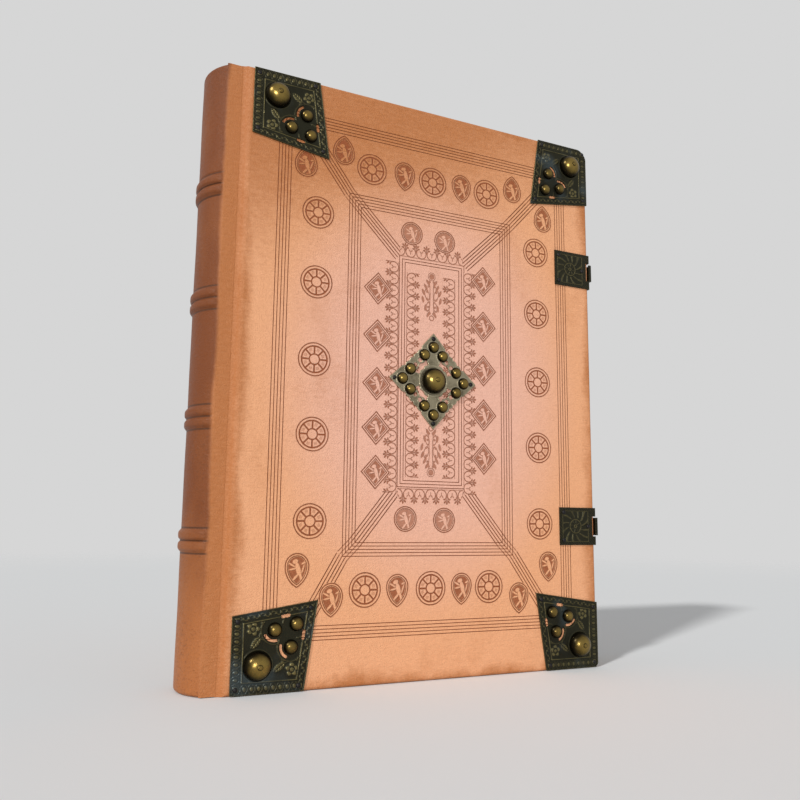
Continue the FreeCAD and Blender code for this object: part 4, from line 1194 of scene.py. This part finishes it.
class CODEX_OT_spine(bpy.types.Operator):
    """Covers the rounded spine, with its double raised bands and its caps"""

    bl_idname = "codex.spine"
    bl_label = "Spine"

    def execute(self, context):
        """Each section runs from inside the tail cap, up the outer face and down inside the head cap.

        Its distance from the axis is the spine's radius plus, at each thong, height sqrt(1 - (dz / half)^2)
        with soft feet, and the thongs fade towards the creases.
        """
        round_over = 2.6
        cap = SPINE_RADIUS - CAP_DEPTH
        tail = [(cap, 5.0), (cap, 1.6), (cap + 0.5, 0.4)]
        turn = np.linspace(0, math.pi / 2, 9)
        for t in turn:
            tail.append((SPINE_RADIUS - round_over * (1 - math.sin(t)), round_over * (1 - math.cos(t))))
        low = np.array(tail)
        heights = np.linspace(round_over, COVER_HEIGHT - round_over, 760)[1:-1]
        body = np.stack((np.full(heights.shape, SPINE_RADIUS), heights), axis=-1)
        high = low[::-1].copy()
        high[:, 1] = COVER_HEIGHT - high[:, 1]
        path = np.concatenate((low, body, high))
        around = np.linspace(-SPINE_ANGLE, SPINE_ANGLE, 49)
        fade = np.sqrt(np.clip((SPINE_ANGLE - np.abs(around)) / 0.12, 0, 1))
        raised = np.zeros(len(path))
        for middle in BAND_PLACES:
            for thong in (middle - BAND_HALF, middle + BAND_HALF):
                share = np.abs(path[:, 1] - thong) / BAND_HALF
                crown = np.sqrt(np.clip(1 - share**2, 0, 1))
                swell = 0.35 * crown + 0.65 * bump_between(share, 0.35, 1.15)
                raised = np.maximum(raised, BAND_HEIGHT * swell)
            for edge in (middle - BAND_HALF * 2 - 1.2, middle + BAND_HALF * 2 + 1.2):
                raised -= 0.35 * bump_between(np.abs(path[:, 1] - edge), 0.15, 0.8)
        slack = 0.18 * np.sin(path[:, 1] * 0.083 + 1.0) * np.sin(path[:, 1] * 0.031)
        middle_z = COVER_HEIGHT / 2
        on_face = bump_between(np.abs(path[:, 1] - middle_z), middle_z - 6, middle_z - 2)
        radius = path[:, 0][:, None] + raised[:, None] * fade + (slack * on_face)[:, None] * fade * 0.6
        x = SPINE_CENTRE - radius * np.cos(around)
        y = MIDDLE_Y - radius * np.sin(around)
        z = np.repeat(path[:, 1][:, None], len(around), axis=1)
        skin = Skin()
        skin.sheet(np.stack((x, y, z), axis=-1))
        made = skin.piece("spine_skin", plain_leather("spine_leather"), sharp=60)
        turn_outwards(made, (SPINE_CENTRE, MIDDLE_Y, COVER_HEIGHT / 2))
        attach(made, "text_block")
        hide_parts("spine_leather")
        return {"FINISHED"}


def turn_outwards(piece, middle):
    """Turns a piece's faces round where most of them look towards a drawing place inside it."""
    mesh = piece.data
    number = len(mesh.polygons)
    normals = np.zeros(number * 3)
    centres = np.zeros(number * 3)
    mesh.polygons.foreach_get("normal", normals)
    mesh.polygons.foreach_get("center", centres)
    outward = (centres.reshape(-1, 3) - place(middle)) * normals.reshape(-1, 3)
    if outward.sum() < 0:
        mesh.flip_normals()


class CODEX_OT_joints(bpy.types.Operator):
    """Leads the leather from the spine to both covers through the moulded joints"""

    bl_idname = "codex.joints"
    bl_label = "Joints"

    def execute(self, context):
        leather = plain_leather("joint_leather")
        lie = JOINT_DEPTH - 0.10
        top = [(-8.9, lie + 0.5), (-8.3, lie + 0.1), (-7.6, lie)]
        top += [(x, lie) for x in np.linspace(-7.0, -0.6, 15)]
        top += [(0.0, lie - 0.01), (0.5, lie - 0.04), (0.9, lie + 0.06), (1.1, lie + 0.35)]
        under = [(x, lie + 0.9) for x in np.linspace(0.0, -7.4, 12)] + [(-8.4, lie + 0.95)]
        outline = np.array(top + under)
        heights = np.linspace(0.25, COVER_HEIGHT - 0.25, 96)
        for side, hinge in (("front", 1), ("back", -1)):
            skin = Skin()
            x = np.repeat(outline[:, 0][:, None], len(heights), axis=1)
            depth = np.repeat(outline[:, 1][:, None], len(heights), axis=1)
            y = depth if hinge > 0 else THICKNESS - depth
            z = np.repeat(heights[None, :], len(outline), axis=0)
            points = np.stack((x, y, z), axis=-1)
            skin.sheet(points, close_rows=True)
            skin.fan(points[:, 0])
            skin.fan(points[:, -1], turn_round=True)
            made = skin.piece(side + "_joint_leather", leather, sharp=50)
            turn_outwards(made, (-3.5, lie + 0.5 if hinge > 0 else THICKNESS - lie - 0.5, COVER_HEIGHT / 2))
            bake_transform(made)
        return {"FINISHED"}


class CODEX_OT_leaves(bpy.types.Operator):
    """Gives the leaves, boards, cords and linings their finishes and winds the endbands"""

    bl_idname = "codex.leaves"
    bl_label = "Leaves and boards"

    def execute(self, context):
        colours = context.scene.codex_colours
        dress("text_block", leaf_paper())
        lining = lining_paper()
        board = board_wood("board_wood", tuple(colours.wood), "z")
        peg = board_wood("peg_wood", (0.45, 0.30, 0.15), "x")
        cord = hemp_cord()
        for side in ("front", "back"):
            dress(side + "_pastedown", lining)
            dress(side + "_board", board)
            dress(side + "_pegs", peg)
            dress(side + "_thong_ends", cord)
        for number in range(4):
            dress("sewing_band_%d" % (number + 1), cord)
        thread = endband_thread()
        for end, node in (("head", "head_endband"), ("tail", "tail_endband")):
            low, high = np.array(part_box(node))
            low = (low - CORNER) * 1000
            high = (high - CORNER) * 1000
            core = (high[2] - low[2]) / 2
            radius = SPINE_CENTRE - low[0] - core
            half = math.asin((high[1] - low[1]) / 2 / (radius + core * 0.4))
            around = np.linspace(-half, half, 121)
            turn = np.linspace(0, 2 * np.pi, 16, endpoint=False)
            ridge = core - 0.10 + 0.10 * np.cos(around * radius * 2 * np.pi / 0.8)
            reach = radius + ridge[:, None] * np.cos(turn)
            x = SPINE_CENTRE - reach * np.cos(around)[:, None]
            y = MIDDLE_Y - reach * np.sin(around)[:, None]
            z = (low[2] + high[2]) / 2 + ridge[:, None] * np.sin(turn)
            along = np.repeat((around * radius)[:, None], len(turn), axis=1)
            pattern = np.stack((along, np.repeat(turn[None, :], len(around), axis=0)), axis=-1)
            skin = Skin()
            points = np.stack((x, y, z), axis=-1)
            skin.tube(points, pattern)
            made = skin.piece(end + "_band_thread", thread, sharp=70)
            turn_outwards(made, (SPINE_CENTRE - radius, MIDDLE_Y, (low[2] + high[2]) / 2))
            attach(made, "text_block")
            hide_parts(node)
        return {"FINISHED"}


class CODEX_OT_corner_plates(bpy.types.Operator):
    """Embosses and pierces the four corner plates"""

    bl_idname = "codex.corner_plates"
    bl_label = "Corner plates"

    def execute(self, context):
        """A point of the kite is P(s, t) between its four corners, raised by its relief."""
        colours = context.scene.codex_colours
        dark = (0.016, 0.015, 0.010)
        # Painted reflection: the bluish sheen laid into the dark bronze.
        painted_sheen = (0.07, 0.095, 0.105)
        bronze = metal("dark_bronze", colours.bronze, colours.rubbed_bronze, dark, 0.36, 60, painted_sheen)
        cells = context.scene.codex_sizes.plate_cells
        share = np.linspace(0, 1, cells + 1)
        s, t = np.meshgrid(share, share, indexing="ij")
        flat_u = s * (1 - t) * PLATE_SIDE + s * t * PLATE_TIP
        flat_v = t * (1 - s) * PLATE_SIDE + s * t * PLATE_TIP
        cell = PLATE_TIP / cells
        for kind, (sideways, upwards, corner_radius) in CORNERS.items():
            u, v, here = trim_grid(flat_u, flat_v, cell, lambda a, b: corner_distance(a, b, corner_radius))
            height = corner_height(u, v)
            lift = PLATE_THICKNESS + 0.42 * height - 0.12
            skin = Skin()
            plate_surface(skin, u, v, here, corner_spot(kind, u, v, lift), height * 0.8)
            made = skin.piece("plate_" + kind, bronze, sharp=70)
            thicken(made, PLATE_THICKNESS - 0.2)
            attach(made, "front_cover")
            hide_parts("corner_plate_" + kind)
        return {"FINISHED"}


class CODEX_OT_bosses(bpy.types.Operator):
    """Raises the large bosses with their rivets, and the small ones on the plates"""

    bl_idname = "codex.bosses"
    bl_label = "Bosses"

    def execute(self, context):
        sides = context.scene.codex_sizes.dome_sides
        brass = boss_brass()
        out = (0, -1, 0)
        knobs = Skin()
        for kind in CORNERS:
            skin = Skin()
            middle = corner_spot(kind, BOSS_PLACE, BOSS_PLACE, PLATE_THICKNESS)
            skin.turned(dome_profile(BOSS_RADIUS, BOSS_HEIGHT, 0.5, 18), sides, middle, out)
            made = skin.piece("boss_" + kind, brass, sharp=60)
            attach(made, "front_cover")
            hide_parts("corner_boss_" + kind)
            for u, v in KNOB_PLACES:
                foot = corner_spot(kind, u, v, PLATE_THICKNESS - 0.1)
                knobs.turned(dome_profile(KNOB_RADIUS, KNOB_HEIGHT, 0.2, 10), 28, foot, out, (0.05, 0.9))
        made = knobs.piece("corner_knobs", brass, sharp=60)
        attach(made, "front_cover")
        skin = Skin()
        middle = centre_spot(0.0, 0.0, CENTRE_THICKNESS)
        skin.turned(dome_profile(CENTRE_BOSS_RADIUS, CENTRE_BOSS_HEIGHT, 0.5, 18), sides, middle, out)
        made = skin.piece("boss_centre", brass, sharp=60)
        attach(made, "front_cover")
        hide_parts("centre_boss")
        heads = Skin()
        for kind in CORNERS:
            top = corner_spot(kind, BOSS_PLACE, BOSS_PLACE, PLATE_THICKNESS + BOSS_HEIGHT - 0.15)
            heads.turned(dome_profile(RIVET_RADIUS, 0.55, 0.1, 6), 20, top, out, (0.3, 0.95))
        made = heads.piece("corner_rivet_heads", brass, sharp=60)
        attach(made, "front_cover")
        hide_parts("corner_boss_rivets")
        head = Skin()
        top = centre_spot(0.0, 0.0, CENTRE_THICKNESS + CENTRE_BOSS_HEIGHT - 0.15)
        head.turned(dome_profile(RIVET_RADIUS, 0.55, 0.1, 6), 20, top, out, (0.3, 0.95))
        made = head.piece("centre_rivet_head", brass, sharp=60)
        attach(made, "front_cover")
        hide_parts("centre_boss_rivet")
        return {"FINISHED"}


class CODEX_OT_centre_plate(bpy.types.Operator):
    """Embosses and pierces the scalloped centre plate with its twelve domes"""

    bl_idname = "codex.centre_plate"
    bl_label = "Centre plate"

    def execute(self, context):
        """Points of a square grid in the plate's plane, cut to its outline and openings."""
        colours = context.scene.codex_colours
        pale = metal("pale_brass", colours.pale_brass, (0.46, 0.41, 0.28), (0.055, 0.042, 0.02), 0.34, 90)
        brass = boss_brass()
        side = np.linspace(-CENTRE_HALF - 0.8, CENTRE_HALF + 0.8, 171)
        u, v = np.meshgrid(side, side, indexing="ij")
        u, v, here = trim_grid(u, v, side[1] - side[0], centre_distance)
        height = centre_height(u, v)
        lift = CENTRE_THICKNESS + 0.40 * height - 0.15
        skin = Skin()
        plate_surface(skin, u, v, here, centre_spot(u, v, lift), height)
        made = skin.piece("plate_centre", pale, sharp=70)
        thicken(made, CENTRE_THICKNESS - 0.2)
        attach(made, "front_cover")
        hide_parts("centre_plate")
        domes = Skin()
        profile = dome_profile(PETAL_RADIUS, PETAL_HEIGHT, 0.2, 10)
        for c, s in ((1, 0), (0, 1), (-1, 0), (0, -1)):
            for along, beside in PETAL_PLACES:
                foot = centre_spot(along * c - beside * s, along * s + beside * c, CENTRE_THICKNESS - 0.1)
                domes.turned(profile, 28, foot, (0, -1, 0), (0.1, 0.95))
        made = domes.piece("centre_domes", brass, sharp=60)
        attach(made, "front_cover")
        return {"FINISHED"}


def nail_heads(name, node, spots, axis, body, material, radius=NAIL_RADIUS, height=NAIL_HEIGHT):
    """Small forged domes in place of a group of nails."""
    skin = Skin()
    for number, spot in enumerate(spots):
        grow = 1 + 0.06 * math.sin(number * 2.4)
        profile = dome_profile(radius * grow, height * grow, 0.12, 5)
        skin.turned(profile, 12, spot, axis)
    made = skin.piece(name, material, sharp=60)
    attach(made, body)
    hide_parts(node)


class CODEX_OT_nails(bpy.types.Operator):
    """Drives the nails of the plates and straps and the clasps' rivets"""

    bl_idname = "codex.nails"
    bl_label = "Nails"

    def execute(self, context):
        iron = nail_iron()
        out = (0, -1, 0)
        near = NAIL_INSET
        far = PLATE_SIDE - NAIL_INSET
        tip = PLATE_TIP - TIP_NAIL_INSET
        spots = []
        for kind in CORNERS:
            for u, v in ((near, near), (far, near), (tip, tip), (near, far)):
                spots.append(corner_spot(kind, u, v, PLATE_THICKNESS - 0.05))
        nail_heads("corner_nail_heads", "corner_nails", spots, out, "front_cover", iron)
        reach = CENTRE_NAIL_REACH
        ends = ((reach, 0.0), (0.0, reach), (-reach, 0.0), (0.0, -reach))
        spots = [centre_spot(u, v, CENTRE_THICKNESS - 0.05) for u, v in ends]
        nail_heads("centre_nail_heads", "centre_nails", spots, out, "front_cover", iron)
        spots = []
        for middle in CLASP_HEIGHTS:
            for x, up in ((CATCH_LEFT + 3.4, 3.4), (CATCH_LEFT + 3.4, 22.6), (COVER_WIDTH - 6.1, CATCH_HALF)):
                spots.append((x, CATCH_TOP, middle - CATCH_HALF + up))
        nail_heads("catch_nail_heads", "catch_nails", spots, out, "front_cover", iron)
        spots = []
        for middle in CLASP_HEIGHTS:
            for along in (6.0, 13.5, 21.0):
                spots.append((COVER_WIDTH - 26.0 + along, THICKNESS + 2.0, middle))
        nail_heads("strap_nail_heads", "strap_nails", spots, (0, 1, 0), "back_cover", iron, 1.4)
        face = (np.array(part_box("clasp_hook_lower")[1]) - CORNER)[0] * 1000
        for name, middle in zip(("lower", "upper"), CLASP_HEIGHTS):
            spots = [(face, 15.5, middle), (face, 21.5, middle)]
            body = name + "_clasp"
            node = "clasp_rivets_" + name
            nail_heads("hook_rivet_heads_" + name, node, spots, (1, 0, 0), body, iron, 1.3, 0.7)
        return {"FINISHED"}


class CODEX_OT_clasps(bpy.types.Operator):
    """Finishes the catch plates, hooks and straps, and bends the straps over the back cover's edge"""

    bl_idname = "codex.clasps"
    bl_label = "Clasps"

    def execute(self, context):
        """The bend is a strap's rounded cross-section carried round a quarter circle."""
        strap = strap_leather()
        for name, middle in zip(("lower", "upper"), CLASP_HEIGHTS):
            catch = catch_bronze("catch_bronze_" + name, CATCH_LEFT + 13.5, middle, 12.8, 12.4, "xz")
            dress("catch_plate_" + name, catch)
            hook = catch_bronze("hook_bronze_" + name, 17.0, middle, 8.4, 9.0, "yz")
            dress("clasp_hook_" + name, hook)
            dress("strap_anchor_" + name, strap)
            dress("clasp_strap_" + name, strap)
            middle_line = [(264.9, 51.0), (265.6, 51.0)]
            turn = np.linspace(0, math.pi / 2, 13)
            middle_line += [(266.0 + 1.85 * math.sin(t), 49.15 + 1.85 * math.cos(t)) for t in turn]
            middle_line += [(267.85, 48.6), (267.85, 47.9)]
            path = np.array(middle_line)
            along = np.gradient(path, axis=0)
            along /= np.linalg.norm(along, axis=1)[:, None]
            beside = np.stack((-along[:, 1], along[:, 0]), axis=-1)
            turn = np.linspace(0, 2 * np.pi, 28, endpoint=False)
            across = np.sign(np.cos(turn)) * np.abs(np.cos(turn)) ** 0.25 * 7.45
            thick = np.sign(np.sin(turn)) * np.abs(np.sin(turn)) ** 0.25 * 0.97
            x = path[:, 0][:, None] + beside[:, 0][:, None] * thick
            y = path[:, 1][:, None] + beside[:, 1][:, None] * thick
            z = middle + np.repeat(across[None, :], len(path), axis=0)
            points = np.stack((x, y, z), axis=-1)
            skin = Skin()
            skin.tube(points)
            made = skin.piece("strap_bend_" + name, strap, sharp=50)
            turn_outwards(made, (266.6, 50.2, middle))
            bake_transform(made)
        return {"FINISHED"}


def lamp(name, energy, place_at, width, colour):
    """A sun of a width in degrees that shines from a place towards the book's foot."""
    light = bpy.data.lights.new(name, "SUN")
    light.energy = energy
    light.angle = math.radians(width)
    light.color = colour
    made = bpy.data.objects.new(name, light)
    bpy.context.scene.collection.objects.link(made)
    made.location = place_at
    aim(made, -np.array(place_at))


def aim(thing, direction, up=(0, 0, 1)):
    """Turns a lamp or camera so that its -z looks along a direction and its y is as near up as can be."""
    forward = np.array(direction, dtype=float)
    forward /= np.linalg.norm(forward)
    right = np.cross(forward, up)
    right /= np.linalg.norm(right)
    over = np.cross(right, forward)
    turn = Matrix((right, over, -forward)).transposed()
    thing.rotation_euler = turn.to_euler()


class CODEX_OT_stage(bpy.types.Operator):
    """Sets the floor, the lamps, the world and the camera"""

    bl_idname = "codex.stage"
    bl_label = "Stage"

    def execute(self, context):
        """The floor is a disc whose height is 0 and which fades into the world at its rim."""
        colours = context.scene.codex_colours
        skin = Skin()
        around = np.linspace(0, 2 * np.pi, 96, endpoint=False)
        reach = np.linspace(0.001, 3.0, 30) * 1000
        middle = -CORNER * 1000
        x = middle[0] + reach[:, None] * np.cos(around)
        y = middle[1] + reach[:, None] * np.sin(around)
        z = np.full(x.shape, -0.15)
        skin.sheet(np.stack((x, y, z), axis=-1), close_columns=True)
        skin.fan(np.stack((x[0], y[0], z[0]), axis=-1), turn_round=True)
        floor = skin.piece("floor", self.floor_finish(colours), sharp=30)
        if floor.data.polygons[0].normal.z < 0:
            floor.data.flip_normals()

        self.world(context, colours)
        lamp("sun", 1.9, (-1.17, -0.72, 1.0), 5, (1.0, 0.985, 0.96))
        lamp("fill", 1.15, (-0.36, -1.0, 0.14), 9, (1.0, 0.98, 0.95))

        camera = bpy.data.objects.new("camera", bpy.data.cameras.new("camera"))
        context.scene.collection.objects.link(camera)
        camera.data.sensor_width = 36
        camera.data.lens = 36.09
        camera.location = place((-110.5, -461.5, 96.5))
        aim(camera, (0.42795, 0.89083, 0.15264), (-0.0761, -0.1327, 0.9882))
        context.scene.camera = camera
        context.scene.view_settings.view_transform = "Standard"
        return {"FINISHED"}

    def floor_finish(self, colours):
        """Plain matt floor that thins out with its distance from the book."""
        finish = Finish("floor")
        x, y, z = finish.axes()
        dx = x + float(CORNER[0]) * 1000
        dy = y + float(CORNER[1]) * 1000
        fade = (dx * dx + dy * dy).root().fade(1000, 2400)
        finish.set(Base_Color=(0.79, 0.81, 0.83), Roughness=0.9)
        return finish.set(Specular_IOR_Level=0.0, Alpha=1 - fade)

    def world(self, context, colours):
        """Soft even light, with the backdrop's colour where the camera, gloss or glass sees it."""
        world = bpy.data.worlds.new("studio")
        context.scene.world = world
        world.use_nodes = True
        back = Backdrop(world)
        path = back.node("ShaderNodeLightPath").outputs
        by_camera, by_gloss, by_glass = (Value(back, path[f"Is {kind} Ray"]) for kind in RAYS_TO_BACKDROP)
        soft = {"Color": (1, 0.99, 0.98), "Strength": 0.40}
        plain = back.node("ShaderNodeBackground", None, soft).outputs[0]
        seen = back.node("ShaderNodeBackground", None, {"Color": tuple(colours.backdrop)}).outputs[0]
        shares = {0: by_camera.higher(by_gloss).higher(by_glass), 1: plain, 2: seen}
        mix = back.node("ShaderNodeMixShader", None, shares)
        back.links.new(mix.outputs[0], back.nodes["World Output"].inputs[0])
        return world


OPERATORS = (
    CODEX_OT_covers,
    CODEX_OT_stamps,
    CODEX_OT_spine,
    CODEX_OT_joints,
    CODEX_OT_leaves,
    CODEX_OT_corner_plates,
    CODEX_OT_bosses,
    CODEX_OT_centre_plate,
    CODEX_OT_nails,
    CODEX_OT_clasps,
    CODEX_OT_stage,
)


class CODEX_PT_panel(bpy.types.Panel):
    """Lists the codex's pieces with their sizes and colours"""

    bl_idname = "CODEX_PT_panel"
    bl_label = "Codex"
    bl_space_type = "VIEW_3D"
    bl_region_type = "UI"
    bl_category = "Codex"

    def draw(self, context):
        layout = self.layout
        for name in CodexSizes.__annotations__:
            layout.prop(context.scene.codex_sizes, name)
        for name in CodexColours.__annotations__:
            layout.prop(context.scene.codex_colours, name)
        for kind in OPERATORS:
            layout.operator(kind.bl_idname)


CLASSES = (CodexSizes, CodexColours) + OPERATORS + (CODEX_PT_panel,)


def register():
    for kind in CLASSES:
        bpy.utils.register_class(kind)
    bpy.types.Scene.codex_sizes = PointerProperty(type=CodexSizes)
    bpy.types.Scene.codex_colours = PointerProperty(type=CodexColours)


def unregister():
    del bpy.types.Scene.codex_colours
    del bpy.types.Scene.codex_sizes
    for kind in reversed(CLASSES):
        bpy.utils.unregister_class(kind)


def main():
    """Makes every piece in order."""
    register()
    bpy.ops.codex.covers()
    bpy.ops.codex.stamps()
    bpy.ops.codex.spine()
    bpy.ops.codex.joints()
    bpy.ops.codex.leaves()
    bpy.ops.codex.corner_plates()
    bpy.ops.codex.bosses()
    bpy.ops.codex.centre_plate()
    bpy.ops.codex.nails()
    bpy.ops.codex.clasps()
    bpy.ops.codex.stage()


if __name__ == "__main__":
    main()
